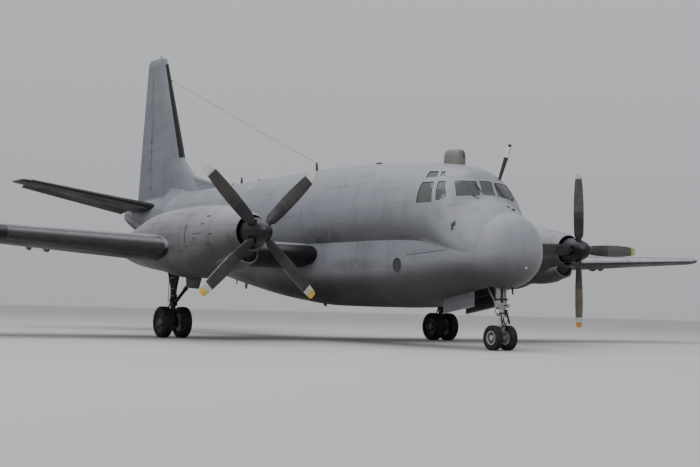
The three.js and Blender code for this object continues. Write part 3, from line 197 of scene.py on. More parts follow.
# The number of an axis, the spacing and the shift of the joints between sheets
PAINT = painted("airframe_paint", (0.236, 0.244, 0.27), [(1, 1.016, 0.31), (2, 0.83, 0.21)], underside_shade_and_dirt=0.77,
                seam_depth=0.14, low=(2.7, 1.5, 0.34),
                dark_patches=[(-2.7, 3.27, 1.15, 0.30, 0.36), (-4.6, 2.35, 1.4, 0.22, 0.22)])
WING_PAINT = painted("wing_paint", (0.22, 0.222, 0.232), [(0, 1.21, 0.35), (1, 1.33, 0.2)], underside_shade_and_dirt=0.96,
                     Specular_IOR_Level=0.22)
NACELLE_PAINT = painted("nacelle_paint", (0.275, 0.275, 0.285), [(1, 0.92, 0.15), (2, 0.66, 0.05)],
                        grime=0.75, underside_shade_and_dirt=0.82, seam_depth=0.42, turn=(0.55, -0.6))
TAIL_PAINT = painted("tail_paint", (0.243, 0.252, 0.28), [(2, 1.13, 0.1), (1, 1.27, 0.4)], underside_shade_and_dirt=0.985,
                     seam_depth=0.16, Specular_IOR_Level=0.1)
RADOME_PAINT = painted("radome_paint", (0.262, 0.27, 0.298), [(1, 40.0, 0.0)], rough=0.36, grime=0.3,
                       underside_shade_and_dirt=0.8, turn=(0.1, -0.75))
POD_PAINT = painted("pod_paint", (0.185, 0.175, 0.158), [(1, 40.0, 0.05)], rough=0.5, grime=0.6, underside_shade_and_dirt=0.2)
POD_BAND = plain("pod_band", (0.075, 0.068, 0.060))

BOOT_WORN = plain("boot_worn_rubber", (0.034, 0.034, 0.036), 0.24, wear=0.35, scale=2.5)
# A pale copy of the boot rubber: a painted reflection of the sky
BOOT_SKY_REFLECTION = plain("boot_pale_rubber", (0.36, 0.37, 0.39), 0.3, wear=0.3, scale=2.5)
BOOT = plain("boot_rubber", (0.013, 0.013, 0.014), 0.38, wear=0.3, scale=2.5, Specular_IOR_Level=0.28)
TRIM = plain("frame_trim", (0.42, 0.44, 0.45), 0.45, wear=0.2)
LIP_METAL = plain("lip_metal", (0.45, 0.46, 0.46), 0.35, metal=0.7, wear=0.3)
# Black for openings: painted shade inside the oil cooler, the intake and the wheels' vents; also the cut-out
# bodies
DARK = plain("dark_cavity", (0.012, 0.012, 0.013), 0.7)
BAY = plain("bay_lining", (0.06, 0.062, 0.06), 0.6, wear=0.4, scale=3)
GLASS = plain("cockpit_glass", (0.085, 0.088, 0.085), 0.08, wear=0.15, bump=0.01, Alpha=0.86, IOR=1.5)
LENS = plain("lamp_lens", (0.75, 0.77, 0.78), 0.1, wear=0.1)

TYRE = plain("tyre_rubber", (0.021, 0.021, 0.020), 0.75, wear=0.35, scale=9, bump=0.25,
             Specular_IOR_Level=0.3)
RIM_DARK = plain("rim_dark", (0.07, 0.072, 0.075), 0.45, metal=0.4, wear=0.4, scale=12)
RIM_WORN = plain("rim_worn_edge", (0.12, 0.12, 0.12), 0.42, metal=0.35, wear=0.45, scale=14)
RIM_INNER = plain("rim_inner", (0.17, 0.168, 0.16), metal=0.2, wear=0.5, scale=12)
RIM_PALE = plain("rim_pale", (0.5, 0.5, 0.48), 0.42, metal=0.3, wear=0.4, scale=12)
LEG_DARK = plain("leg_dark_paint", (0.024, 0.021, 0.019), 0.45, wear=0.45, scale=8, Specular_IOR_Level=0.35)
LEG_SILVER = plain("leg_silver_paint", (0.42, 0.43, 0.43), 0.4, metal=0.25, wear=0.4, scale=8)
CHROME = plain("oleo_chrome", (0.7, 0.71, 0.72), 0.16, metal=1.0, wear=0.15, bump=0.02)
HOSE = plain("hose_rubber", (0.02, 0.02, 0.02), 0.6)
DOOR_DARK = plain("door_inside_dark", (0.028, 0.024, 0.021), 0.55, wear=0.4)

WHITE = plain("mast_white", (0.72, 0.72, 0.7), 0.4)
MAST_DARK = plain("mast_dark", (0.03, 0.031, 0.033), 0.45)
SPINNER = plain("spinner_paint", (0.013, 0.013, 0.015), 0.34, wear=0.3, scale=3, Specular_IOR_Level=0.3)


# Slots by a word in the finish's name; a finish without one takes the airframe paint's
SLOTS = {
    "radome_paint": ["radome"], "glazing": ["glass", "lens"], "interior": ["cavity"],
    "bay_lining": ["bay", "door_inside"], "propeller_paint": ["blade"], "spinner_paint": ["spinner"],
    "gear_paint": ["leg_dark"], "gear_silver": ["leg_silver", "chrome", "lip_metal"],
    "tyre_rubber": ["rubber"], "rim_dark": ["rim_dark", "rim_worn"], "rim_pale": ["rim_pale", "rim_inner"],
    "pod_paint": ["pod"], "mast_paint": ["mast"],
}


# Mesh building

def slot_for(finish):
    return next((slot for slot, words in SLOTS.items() if any(w in finish for w in words)), "airframe_paint")


def settle(obj, body="airframe", sharp=32.0, node=""):
    """Shade a finished piece, ride it on its body, look up its slot and hide the solid that it stands for."""
    mesh = obj.data
    mesh.shade_smooth()
    mesh.set_sharp_from_angle(angle=math.radians(sharp))
    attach(obj, body)
    slot_for(mesh.materials[0].name)
    if node:
        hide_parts(node)
    return obj


def linked(name, mesh):
    obj = bpy.data.objects.new(name, mesh)
    COLLECTION.objects.link(obj)
    return obj


def raw(name, vertices, faces, material):
    """A closed mesh from station-frame points, with its faces turned outwards."""
    points = np.array(vertices, float)
    points[:, 1] += AXLE
    mesh = bpy.data.meshes.new(name)
    mesh.from_pydata(points.tolist(), [], [list(map(int, f)) for f in faces])
    work = bmesh.new()
    work.from_mesh(mesh)
    bmesh.ops.remove_doubles(work, verts=work.verts, dist=1e-5)
    bmesh.ops.dissolve_degenerate(work, dist=1e-6, edges=work.edges)
    bmesh.ops.recalc_face_normals(work, faces=work.faces)
    work.to_mesh(mesh)
    work.free()
    mesh.materials.append(material)
    return linked(name, mesh)


def grid_faces(rows, columns, wrap=True):
    faces = []
    for i in range(rows - 1):
        for j in range(columns if wrap else columns - 1):
            k = (j + 1) % columns
            faces.append((i * columns + j, i * columns + k, (i + 1) * columns + k, (i + 1) * columns + j))
    return faces


def loft(name, rings, material):
    """A closed body through rings of the same number of points."""
    rings = [np.array(ring, float) for ring in rings]
    rows, columns = len(rings), len(rings[0])
    faces = grid_faces(rows, columns)
    faces.append(tuple(range(columns))[::-1])
    faces.append(tuple((rows - 1) * columns + j for j in range(columns)))
    return raw(name, np.concatenate(rings), faces, material)


def shell(name, outer, inner, material, wrap=True):
    """A wall between two sets of rings, closed at both ends, and along both sides where it doesn't wrap."""
    rows, columns = len(outer), len(outer[0])
    count = rows * columns
    faces = grid_faces(rows, columns, wrap)
    faces += [tuple(i + count for i in face)[::-1] for face in grid_faces(rows, columns, wrap)]
    edges = []
    if not wrap:
        edges += [(i * columns + j, (i + 1) * columns + j) for i in range(rows - 1) for j in (0, columns - 1)]
    for row in (0, rows - 1):
        edges += [(row * columns + j, row * columns + (j + 1) % columns)
                  for j in range(columns if wrap else columns - 1)]
    faces += [(p, q, q + count, p + count) for p, q in edges]
    return raw(name, np.concatenate([np.array(r, float) for r in (*outer, *inner)]), faces, material)


def join(name, parts, body=None, node=""):
    """One object from several, keeping each part's material."""
    work = bmesh.new()
    materials = []
    for part in parts:
        first = len(work.faces)
        work.from_mesh(part.data)
        work.faces.ensure_lookup_table()
        slots = []
        for material in part.data.materials:
            if material not in materials:
                materials.append(material)
            slots.append(materials.index(material))
        for face in work.faces[first:]:
            face.material_index = slots[face.material_index]
        drop(part)
    mesh = bpy.data.meshes.new(name)
    work.to_mesh(mesh)
    work.free()
    for material in materials:
        mesh.materials.append(material)
    obj = linked(name, mesh)
    return settle(obj, body, node=node) if body else obj


def drop(obj):
    mesh = obj.data
    bpy.data.objects.remove(obj)
    bpy.data.meshes.remove(mesh)


def combine(obj, others, operation="DIFFERENCE"):
    """The piece less the others, or its part inside them. The others are used up."""
    for other in others:
        modifier = obj.modifiers.new("combine", "BOOLEAN")
        modifier.object = other
        modifier.operation = operation
        modifier.solver = "EXACT"
        modifier.material_mode = "TRANSFER"
    graph = bpy.context.evaluated_depsgraph_get()
    mesh = bpy.data.meshes.new_from_object(obj.evaluated_get(graph))
    obj.modifiers.clear()
    old = obj.data
    obj.data = mesh
    bpy.data.meshes.remove(old)
    for other in others:
        drop(other)
    return obj


def mirror(obj, name, body, node=""):
    mesh = obj.data.copy()
    mesh.name = name
    mesh.transform(Matrix.Scale(-1, 4, (1, 0, 0)))
    mesh.flip_normals()
    return settle(linked(name, mesh), body, node=node)


def pair(obj, stem, body="airframe", node=""):
    """The port piece and its mirror image; body and node names take the side where they have a gap for it."""
    obj.name = stem + "_port"
    settle(obj, body.format("port"), node=node.format("port"))
    mirror(obj, stem + "_starboard", body.format("starboard"), node.format("starboard"))


def disc_ring(centre, across, other, radius, sides):
    angles = [2 * math.pi * k / sides for k in range(sides)]
    return [tuple(centre + (across * math.cos(a) + other * math.sin(a)) * radius) for a in angles]


def turned(name, profile, centre, axis, material, sides=48):
    """A body of revolution: profile is (radius, along the axis)."""
    axis = Vector(axis).normalized()
    across = axis.orthogonal().normalized()
    other = axis.cross(across)
    rings = [disc_ring(Vector(centre) + axis * along, across, other, max(radius, 1e-4), sides)
             for radius, along in profile]
    return loft(name, rings, material)


def rod(name, start, end, radius, material, end_radius=None, sides=20, edge=0.15):
    """A round bar with softened ends."""
    start, end = Vector(start), Vector(end)
    length = (end - start).length
    end_radius = radius if end_radius is None else end_radius
    soft = min(radius, end_radius) * edge
    profile = [(radius - soft, 0), (radius, soft), (end_radius, length - soft), (end_radius - soft, length)]
    return turned(name, profile, start, end - start, material, sides)


def tube(name, points, radius, material, sides=10, steps=6):
    """A bent pipe or hose on a smooth curve through points."""
    points = [Vector(p) for p in points]
    last = len(points) - 1
    fine = []
    for i in range(last):
        p = [points[max(i - 1, 0)], points[i], points[i + 1], points[min(i + 2, last)]]
        for t in (k / steps for k in range(steps)):
            fine.append(0.5 * (2 * p[1] + (p[2] - p[0]) * t + (2 * p[0] - 5 * p[1] + 4 * p[2] - p[3]) * t * t
                               + (3 * p[1] - p[0] - 3 * p[2] + p[3]) * t ** 3))
    fine.append(points[-1])
    rings = []
    across = None
    for i, point in enumerate(fine):
        along = (fine[min(i + 1, len(fine) - 1)] - fine[max(i - 1, 0)]).normalized()
        across = (across - along * across.dot(along) if across else along.orthogonal()).normalized()
        rings.append(disc_ring(point, across, along.cross(across), radius, sides))
    return loft(name, rings, material)


def prism(name, outline, axis, low, high, material, bevel=0.0):
    """An outline pushed along an axis: (y, z) along x, (x, z) along y, (x, y) along z."""
    place = {"x": lambda u, v, w: (w, u, v), "y": lambda u, v, w: (u, w, v), "z": lambda u, v, w: (u, v, w)}
    obj = loft(name, [[place[axis](u, v, w) for u, v in outline] for w in (low, high)], material)
    if bevel:
        work = bmesh.new()
        work.from_mesh(obj.data)
        bmesh.ops.bevel(work, geom=work.edges[:], offset=bevel, segments=2, affect="EDGES", profile=0.6)
        work.to_mesh(obj.data)
        work.free()
    return obj


def block(name, low, high, material, bevel=0.008):
    return prism(name, [(low[0], low[1]), (high[0], low[1]), (high[0], high[1]), (low[0], high[1])], "z",
                 low[2], high[2], material, bevel)


def rounded(outline, radius, steps=5):
    """An outline with its corners rounded."""
    points = [np.array(p, float) for p in outline]
    result = []
    for i, corner in enumerate(points):
        before = points[i - 1] - corner
        after = points[(i + 1) % len(points)] - corner
        reach = min(radius, 0.45 * np.linalg.norm(before), 0.45 * np.linalg.norm(after))
        a = corner + before / np.linalg.norm(before) * reach
        b = corner + after / np.linalg.norm(after) * reach
        for t in np.linspace(0, 1, steps):
            result.append(tuple((1 - t) ** 2 * a + 2 * t * (1 - t) * corner + t * t * b))
    return result


def grown(outline, by):
    """An outline moved outwards by a distance."""
    points = [np.array(p, float) for p in outline]
    area = sum(points[i - 1][0] * p[1] - p[0] * points[i - 1][1] for i, p in enumerate(points))
    sign = 1 if area > 0 else -1
    result = []
    for i, point in enumerate(points):
        along = points[(i + 1) % len(points)] - points[i - 1]
        normal = np.array([along[1], -along[0]]) * sign / np.linalg.norm(along)
        result.append(tuple(point + normal * by))
    return result


def smooth(xs, ys, x):
    """Monotone cubic interpolation of the columns of ys at x."""
    xs, ys = np.asarray(xs, float), np.asarray(ys, float)
    step = np.diff(xs)[:, None]
    slope = np.diff(ys, axis=0) / step
    tangent = np.zeros_like(ys)
    inner = slope[:-1] * slope[1:] > 0
    weight_a, weight_b = 2 * step[1:] + step[:-1], step[1:] + 2 * step[:-1]
    with np.errstate(divide="ignore", invalid="ignore"):
        mean = (weight_a + weight_b) / (weight_a / slope[:-1] + weight_b / slope[1:])
    tangent[1:-1] = np.where(inner, mean, 0)
    tangent[0], tangent[-1] = slope[0], slope[-1]
    x = np.clip(x, xs[0], xs[-1])
    i = int(np.clip(np.searchsorted(xs, x) - 1, 0, len(xs) - 2))
    h = xs[i + 1] - xs[i]
    t = (x - xs[i]) / h
    return ((1 + 2 * t) * (1 - t) ** 2 * ys[i] + t * (1 - t) ** 2 * h * tangent[i]
            + t * t * (3 - 2 * t) * ys[i + 1] + t * t * (t - 1) * h * tangent[i + 1])


# Fuselage: sections of two stacked lobes
SEAM_Y = -9.98
RADOME = dict(depth=0.78, power=1.9, half_width=1.115, middle=2.59, above=1.14, below=0.92, rise=0.15)
SECTIONS = np.array([
    # station, top, upper half-width and height, crease, lower half-width and height, bottom
    (-9.98, 3.73, 1.115, 2.62, 1.1128, 2.59, 1.115, 2.56, 1.67),
    (-9.70, 3.93, 1.27, 2.74, 1.262, 2.65, 1.265, 2.55, 1.63),
    (-9.20, 4.26, 1.44, 3.0, 1.405, 2.74, 1.41, 2.51, 1.56),
    (-8.93, 4.75, 1.52, 3.22, 1.445, 2.82, 1.455, 2.48, 1.5),
    (-8.60, 5.05, 1.60, 3.48, 1.47, 2.89, 1.49, 2.43, 1.45),
    (-8.20, 5.175, 1.62, 3.68, 1.465, 2.95, 1.495, 2.39, 1.39),
    (-7.40, 5.30, 1.645, 3.82, 1.46, 3.01, 1.5, 2.33, 1.25),
    (-6.50, 5.37, 1.65, 3.88, 1.46, 3.04, 1.505, 2.27, 1.13),
    (-5.20, 5.47, 1.65, 3.92, 1.46, 3.05, 1.51, 2.25, 1.11),
    (-1.80, 5.62, 1.65, 3.96, 1.46, 3.05, 1.51, 2.25, 1.13),
    (0.80, 5.60, 1.65, 3.95, 1.46, 3.05, 1.505, 2.3, 1.33),
    (3.30, 5.56, 1.64, 3.95, 1.45, 3.08, 1.48, 2.45, 1.7),
    (6.50, 5.52, 1.56, 4.02, 1.39, 3.28, 1.39, 2.88, 2.3),
    (9.70, 5.48, 1.33, 4.18, 1.22, 3.7, 1.215, 3.42, 2.98),
    (12.3, 5.45, 0.96, 4.46, 0.915, 4.19, 0.915, 4.03, 3.57),
    (14.5, 5.33, 0.56, 4.76, 0.545, 4.62, 0.545, 4.52, 4.09),
    (15.6, 5.13, 0.31, 4.87, 0.305, 4.8, 0.305, 4.73, 4.45),
    (16.0, 5.01, 0.17, 4.84, 0.167, 4.8, 0.17, 4.77, 4.59),
    (16.1, 4.94, 0.1, 4.83, 0.098, 4.8, 0.1, 4.77, 4.66),
])


def section_at(y):
    if y >= SEAM_Y:
        return smooth(SECTIONS[:, 0], SECTIONS[:, 1:], y)
    share = (SEAM_Y - y) / RADOME["depth"]
    shrink = max(1 - share ** RADOME["power"], 0) ** (1 / RADOME["power"])
    middle = RADOME["middle"] + RADOME["rise"] * share
    half = RADOME["half_width"] * shrink
    bend = 0.03 * shrink
    return np.array([middle + RADOME["above"] * shrink, half, middle + bend, half * 0.998, middle, half,
                     middle - bend, middle - RADOME["below"] * shrink])


UPPER_STEPS, SIDE_STEPS, LOWER_STEPS = 26, 7, 20


def half_section(y, inset=0.0):
    """The port half of the section at a station, from the top down: upper lobe, crease and lower lobe."""
    top, ux, uz, cx, cz, lx, lz, bottom = section_at(y)
    top, bottom, ux, lx, cx = top - inset, bottom + inset, ux - inset, lx - inset, cx - inset
    drop_to = (uz - cz) / math.sqrt(1 - (cx / ux) ** 2)
    rise = (cz - lz) / math.sqrt(1 - min(cx / lx, 0.9995) ** 2)
    upper, lower = np.linspace(0, math.pi / 2, UPPER_STEPS), np.linspace(0, math.pi / 2, LOWER_STEPS)
    above, below = np.linspace(0, uz - cz, SIDE_STEPS)[1:], np.linspace(cz - lz, 0, SIDE_STEPS)[1:-1]
    points = [(ux * math.sin(a), uz + (top - uz) * math.cos(a)) for a in upper]
    points += [(ux * math.sqrt(1 - (d / drop_to) ** 2), uz - d) for d in above]
    points += [(lx * math.sqrt(max(1 - (d / rise) ** 2, 0)), lz + d) for d in below]
    points += [(lx * math.cos(a), lz - (lz - bottom) * math.sin(a)) for a in lower]
    return points


def fuselage_ring(y, inset=0.0):
    half = half_section(y, inset)
    ring = half + [(-x, z) for x, z in half[-2:0:-1]]
    return [(x, y, z) for x, z in ring]


def surface_x(y, z):
    """Half-width of the fuselage at a station and height."""
    half = half_section(y)
    heights = [p[1] for p in half][::-1]
    return float(np.interp(z, heights, [p[0] for p in half][::-1]))


def surface_z(y, x):
    """Height of the fuselage's upper surface at a station and distance from the middle."""
    half = half_section(y)[:UPPER_STEPS]
    return float(np.interp(abs(x), [p[0] for p in half], [p[1] for p in half]))


def rings_at(stations, inset=0.0):
    return [fuselage_ring(y, inset) for y in stations]


def tube_rings(start, end, inset, step=0.1):
    count = max(2, int(round((end - start) / step)) + 1)
    return rings_at(np.linspace(start, end, count), inset)


radome_stations = [SEAM_Y - RADOME["depth"] * math.sin(a) for a in np.linspace(0.004, 1.53, 30)][::-1]
radome_rings = rings_at(radome_stations) + rings_at([SEAM_Y - 0.004], 0.02)
settle(loft("radome", radome_rings, RADOME_PAINT), node="nose_radome")
seam = (SEAM_Y - 0.006, SEAM_Y + 0.024)
settle(shell("radome_seam_ring", rings_at(seam, -0.0015), rings_at(seam, 0.02), PAINT))

# Panes as (station, height) on the sides and (x, height) in front
SIDE_PANES = [
    [(-7.925, 4.013), (-7.821, 4.640), (-8.282, 4.637), (-8.566, 4.012)],
    [(-8.668, 4.035), (-8.395, 4.641), (-8.607, 4.644), (-8.900, 4.150)],
    [(-7.806, 4.770), (-7.687, 4.984), (-8.039, 4.963), (-8.235, 4.778)],
    [(-8.289, 4.790), (-8.146, 4.956), (-8.302, 4.936), (-8.480, 4.778)],
]
CENTRE_PANE = [(-0.221, 4.262), (0.221, 4.262), (0.221, 4.690), (-0.221, 4.690)]
FRONT_PANE = [(0.303, 4.250), (1.050, 4.185), (0.925, 4.650), (0.300, 4.675)]
FLIPPED_PANE = [(-x, z) for x, z in FRONT_PANE]


def pane_prisms(by):
    """Bodies through every cockpit pane, grown by a distance."""
    bodies = []
    for pane in SIDE_PANES:
        outline = grown(rounded(pane, 0.05), by)
        bodies += [prism("pane", outline, "x", low, high, DARK) for low, high in ((0.75, 1.8), (-1.8, -0.75))]
    for pane in (CENTRE_PANE, FRONT_PANE, FLIPPED_PANE):
        bodies.append(prism("pane", grown(rounded(pane, 0.05), by), "y", -9.6, -8.62, DARK))
    return bodies


# Portholes as (station, height, half-width, half-height, side)
PORTHOLES = [(-6.92, 2.31, 0.215, 0.205, -1), (-6.92, 2.31, 0.215, 0.205, 1), (-4.2, 4.05, 0.17, 0.24, 1),
             (6.9, 4.15, 0.17, 0.24, 1)]


def holes(start, end):
    """Bodies through the portholes between two stations."""
    bodies = []
    for y, z, wide, tall, side in PORTHOLES:
        if start < y < end:
            outline = [(wide * math.cos(a) + y, tall * math.sin(a) + z) for a in around(24)]
            bodies.append(prism("porthole", outline, "x", *sorted((side * 1.2, side * 1.8)), DARK))
    return bodies


def skin_piece(name, start, end, node, wall=0.022, step=0.1, cutters=()):
    piece = shell(name, tube_rings(start, end, 0.0, step), tube_rings(start, end, wall, step), PAINT)
    combine(piece, cutters)
    settle(piece, sharp=28, node=node)


BAY_X, BAY_FRONT, BAY_REAR = 0.445, -9.955, -7.62
bay_cut = block("bay_cut", (-BAY_X, BAY_FRONT, 1.0), (BAY_X, BAY_REAR, 1.9), DARK, 0)
FRONT_JOINT, REAR_JOINT, TAIL_JOINT, TAIL_END = -5.2, 3.3, 9.7, 16.1
skin_piece("forward_skin", SEAM_Y, FRONT_JOINT, "forward_fuselage", 0.036, 0.07,
           [bay_cut, *pane_prisms(0.0), *holes(SEAM_Y, FRONT_JOINT)])
skin_piece("centre_skin", FRONT_JOINT, REAR_JOINT, "centre_fuselage", cutters=holes(FRONT_JOINT, REAR_JOINT))
skin_piece("rear_skin", REAR_JOINT, TAIL_JOINT, "rear_fuselage", cutters=holes(REAR_JOINT, TAIL_JOINT))
tail_rings = tube_rings(TAIL_JOINT, TAIL_END, 0.0)
end_middle = np.mean(np.array(tail_rings[-1]), axis=0)
tail_rings += [[tuple(end_middle + (np.array(p) - end_middle) * k + (0, d, 0)) for p in tail_rings[-1]]
               for k, d in ((0.86, 0.03), (0.6, 0.05), (0.25, 0.06))]
settle(loft("tail_skin", tail_rings, TAIL_PAINT), sharp=28, node="tail_cone")


def cockpit_shell(outside, inside, material):
    stations = np.linspace(-9.3, -7.5, 31)
    return shell("cockpit", rings_at(stations, outside), rings_at(stations, inside), material)


def behind_panes(sheet, by):
    """The parts of a thin shell that lie behind the panes grown by a distance. The shell is used up."""
    parts = [combine(linked("part", sheet.data.copy()), [body], "INTERSECT") for body in pane_prisms(by)]
    drop(sheet)
    return parts


glass = cockpit_shell(0.016, 0.024, GLASS)
join("cockpit_glass", behind_panes(glass, 0.01), "airframe", node="cockpit_glazing")
rims = combine(cockpit_shell(-0.004, 0.03, TRIM), [join("inner", pane_prisms(0.0))])
join("window_rims", behind_panes(rims, 0.016), "airframe")


# Wings, tailplane and their control surfaces. A span station is (x, leading edge, chord, height, thickness).
WING_KINK, OUTER_SPAN, WING_TIP = 5.75, 12.59, 18.34
# The gap beside a control surface's ends
GAP = 0.008

def half_depth(share, thickness):
    return 5 * thickness * (0.2969 * math.sqrt(share) - 0.126 * share - 0.3516 * share ** 2
                            + 0.2843 * share ** 3 - 0.1 * share ** 4)


def profile(chord, thickness, steps=26):
    shares = [(1 - math.cos(math.pi * i / steps)) / 2 for i in range(steps + 1)]
    half = [(s * chord, half_depth(s, thickness) * chord) for s in shares]
    return half[::-1] + [(a, -d) for a, d in half[1:]]


def mixed(a, b, x):
    """The span station at x on the line through two others."""
    share = (x - a[0]) / (b[0] - a[0])
    return tuple(p + share * (q - p) for p, q in zip(a, b))


def spread(a, b, start, end, count):
    return [mixed(a, b, x) for x in np.linspace(start, end, count)]


def flat_ring(station):
    x, leading, chord, z, thickness = station
    return [(x, leading + a, z + d) for a, d in profile(chord, thickness)]


def wing_station(x):
    """The wing is straight as far as its kink, and tapers and rises beyond it."""
    past = max(0.0, x - WING_KINK)
    out = past / OUTER_SPAN
    return (x, -2.5 + 2.52 * out, 4.95 - 2.9 * out, 2.7 + 0.05 * past, 0.165 - 0.035 * out)


def tip_stations(root, tip):
    """Stations that round a tip off, from root to tip along a quarter of an ellipse."""
    root, tip = np.array(root), np.array(tip)
    stations = []
    for a in np.linspace(0, math.pi / 2, 9)[1:]:
        out, back = math.sin(a), 1 - math.cos(a)
        stations.append(tuple(root + (tip - root) * np.array([out, back, back, out, back])))
    return stations


def control_surface(name, a, b, share, start, end, droop=0.0, material=WING_PAINT):
    """The port surface between two x, with ends square to its hinge, and the bodies to cut out for it."""
    stations = [mixed(a, b, x) for x in (start, end)]
    hinge = [np.array((x, s[1] + share * s[2], s[3])) for x, s in zip((start, end), stations)]
    along = (hinge[1] - hinge[0]) / np.linalg.norm(hinge[1] - hinge[0])

    def outline(station):
        x, leading, chord, z, thickness = station
        shares = share + (1 - share) * np.linspace(0, 1, 14) ** 1.1
        depths = [half_depth(s, thickness) * chord for s in shares]
        upper = [(x, leading + s * chord, z + d) for s, d in zip(shares, depths)]
        lower = [(x, leading + s * chord, z - d) for s, d in zip(shares, depths)][::-1]
        nose = [(x, leading + share * chord - depths[0] * math.sin(t), z - depths[0] * math.cos(t))
                for t in np.linspace(0, math.pi, 13)[1:-1]]
        return np.array(upper + lower + nose)

    wide = [outline(mixed(a, b, x)) for x in (start - 0.12, end + 0.12)]
    ends = []
    for point in hinge:
        t = ((point - wide[0]) @ along) / ((wide[1] - wide[0]) @ along)
        ends.append(wide[0] + t[:, None] * (wide[1] - wide[0]))
    body = [ends[0] + (ends[1] - ends[0]) * k for k in np.linspace(0, 1, 9)]
    if droop:
        turn = np.array(Matrix.Rotation(math.radians(droop), 3, Vector(along)))
        body = [(ring - hinge[0]) @ turn.T + hinge[0] for ring in body]
    low, high = hinge[0] - along * GAP, hinge[1] + along * GAP
    back, up = np.array((0, 3.2, 0)), np.array((0, 0, 0.9))
    up, back = up - along * (up @ along), back - along * (back @ along)
    slab = loft("slab", [[p - up, p + back - up, p + back + up, p + up] for p in (low, high)], DARK)
    radius = [half_depth(share, s[4]) * s[2] * 0.98 + 0.024 for s in stations]
    room = rod("room", low, high, radius[0], DARK, radius[1], 32, 0.0)
    return loft(name, body, material), slab, room


inner = wing_station(1.3), wing_station(WING_KINK)
outer = inner[1], wing_station(17.92)
flap_in, *flap_in_room = control_surface("flap", *inner, 0.76, 1.73, 4.96)
flap_out, *flap_out_room = control_surface("flap", *outer, 0.76, 6.52, 11.4)
aileron, *aileron_room = control_surface("aileron", *outer, 0.76, 11.46, 17.3)
inner_wing = loft("wing", [flat_ring(s) for s in spread(*inner, 1.3, WING_KINK, 8)], WING_PAINT)
pair(combine(inner_wing, flap_in_room), "wing_inner_skin", node="wing_inner_{}")
wing_end = tip_stations(outer[1], (WING_TIP, 0.44, 1.35, wing_station(WING_TIP)[3], 0.04))
outer_wing = loft("wing", [flat_ring(s) for s in spread(*outer, WING_KINK, 17.92, 20) + wing_end], WING_PAINT)
pair(combine(outer_wing, flap_out_room + aileron_room), "wing_outer_skin", node="wing_outer_{}")
pair(flap_in, "flap_inner_skin", "flap_inner_{}", "flap_inner_{}")
pair(flap_out, "flap_outer_skin", "flap_outer_{}", "flap_outer_{}")
pair(aileron, "aileron_skin", "aileron_{}", "aileron_{}")

TAIL_Z, TAIL_RISE = 4.79, 0.17
TAILPLANE = [(0.0, 10.9, 3.3, TAIL_Z, 0.12), (5.65, 12.45, 1.7, TAIL_Z + TAIL_RISE * 5.65, 0.11)]
elevator, *elevator_room = control_surface("elevator", *TAILPLANE, 0.66, 1.15, 5.47, -12.0, TAIL_PAINT)
tail_end = tip_stations(TAILPLANE[1], (5.9, 12.76, 1.2, TAIL_Z + TAIL_RISE * 5.9, 0.03))
tail_stations = spread(*TAILPLANE, 0.0, 5.65, 12) + tail_end
tailplane = loft("tailplane", [flat_ring(s) for s in tail_stations], TAIL_PAINT)
pair(combine(tailplane, elevator_room), "tailplane_skin", node="tailplane_{}")
pair(elevator, "elevator_skin", "elevator_{}", "elevator_{}")


def boot(stations, share, material=BOOT, steps=12):
    """A thin rubber sheet bonded round a leading edge, back to a share of the chord."""
    sheets = []
    for offset in (0.004, -0.006):
        rings = []
        for x, leading, chord, z, thickness in stations:
            shares = [share * (k / steps) ** 2 for k in range(steps, -1, -1)]
            half = [(s * chord, half_depth(s, thickness) * chord) for s in shares]
            line = [np.array(p) for p in half + [(a, -d) for a, d in half[-2::-1]]]
            ring = []
            for i, p in enumerate(line):
                along = line[min(i + 1, len(line) - 1)] - line[max(i - 1, 0)]
                normal = np.array([along[1], -along[0]]) / np.linalg.norm(along)
                inwards = normal @ (p - np.array([share * chord, 0])) < 0
                q = p + normal * (-offset if inwards else offset)
                ring.append((x, leading + q[0], z + q[1]))
            rings.append(ring)
        sheets.append(rings)
    return shell("boot", *sheets, material, wrap=False)


def inner_boot():
    return boot(spread(*inner, 1.45, 4.95, 7), 0.075)


# The port wing's boot has a painted sky reflection on its upper faces; the starboard one is worn as far as
# 11.02 m out
port_boot = boot(spread(*outer, 6.62, 17.8, 8), 0.05, BOOT_SKY_REFLECTION)
port_boot.data.materials.append(BOOT)
# Faces that look up take the painted reflection, those turned down the black rubber
for face in port_boot.data.polygons:
    face.material_index = int(face.normal.z < -0.1)
join("wing_boot_port", [port_boot, inner_boot()], "airframe")
strips = [boot(spread(*outer, 6.62, 11.02, 8), 0.085, BOOT_WORN), boot(spread(*outer, 11.02, 17.8, 8), 0.085)]
sheet = join("boots", [*strips, inner_boot()])
mirror(sheet, "wing_boot_starboard", "airframe")
drop(sheet)
pair(boot(spread(*TAILPLANE, 0.93, 5.6, 8), 0.1), "tailplane_boot")

# Fin and rudder: sections along z, as (z, leading edge, trailing edge, thickness)
FIN = np.array([
    (5.30, 8.70, 14.96, 0.075), (6.21, 9.56, 14.85, 0.085), (6.82, 10.42, 14.78, 0.095),
    (7.30, 10.64, 14.724, 0.0967), (10.50, 12.107, 14.347, 0.108), (11.03, 12.35, 14.285, 0.11),
])
FIN_TOP = 11.03
HINGE_Y = 13.32
RUDDER = (5.56, 10.96)


def fin_at(z):
    return smooth(FIN[:, 0], FIN[:, 1:], z)


def fin_half(y, z):
    leading, trailing, thickness = fin_at(z)
    return half_depth((y - leading) / (trailing - leading), thickness) * (trailing - leading)


def upright_ring(z, leading, trailing, thickness):
    return [(d, leading + a, z) for a, d in profile(trailing - leading, thickness)]


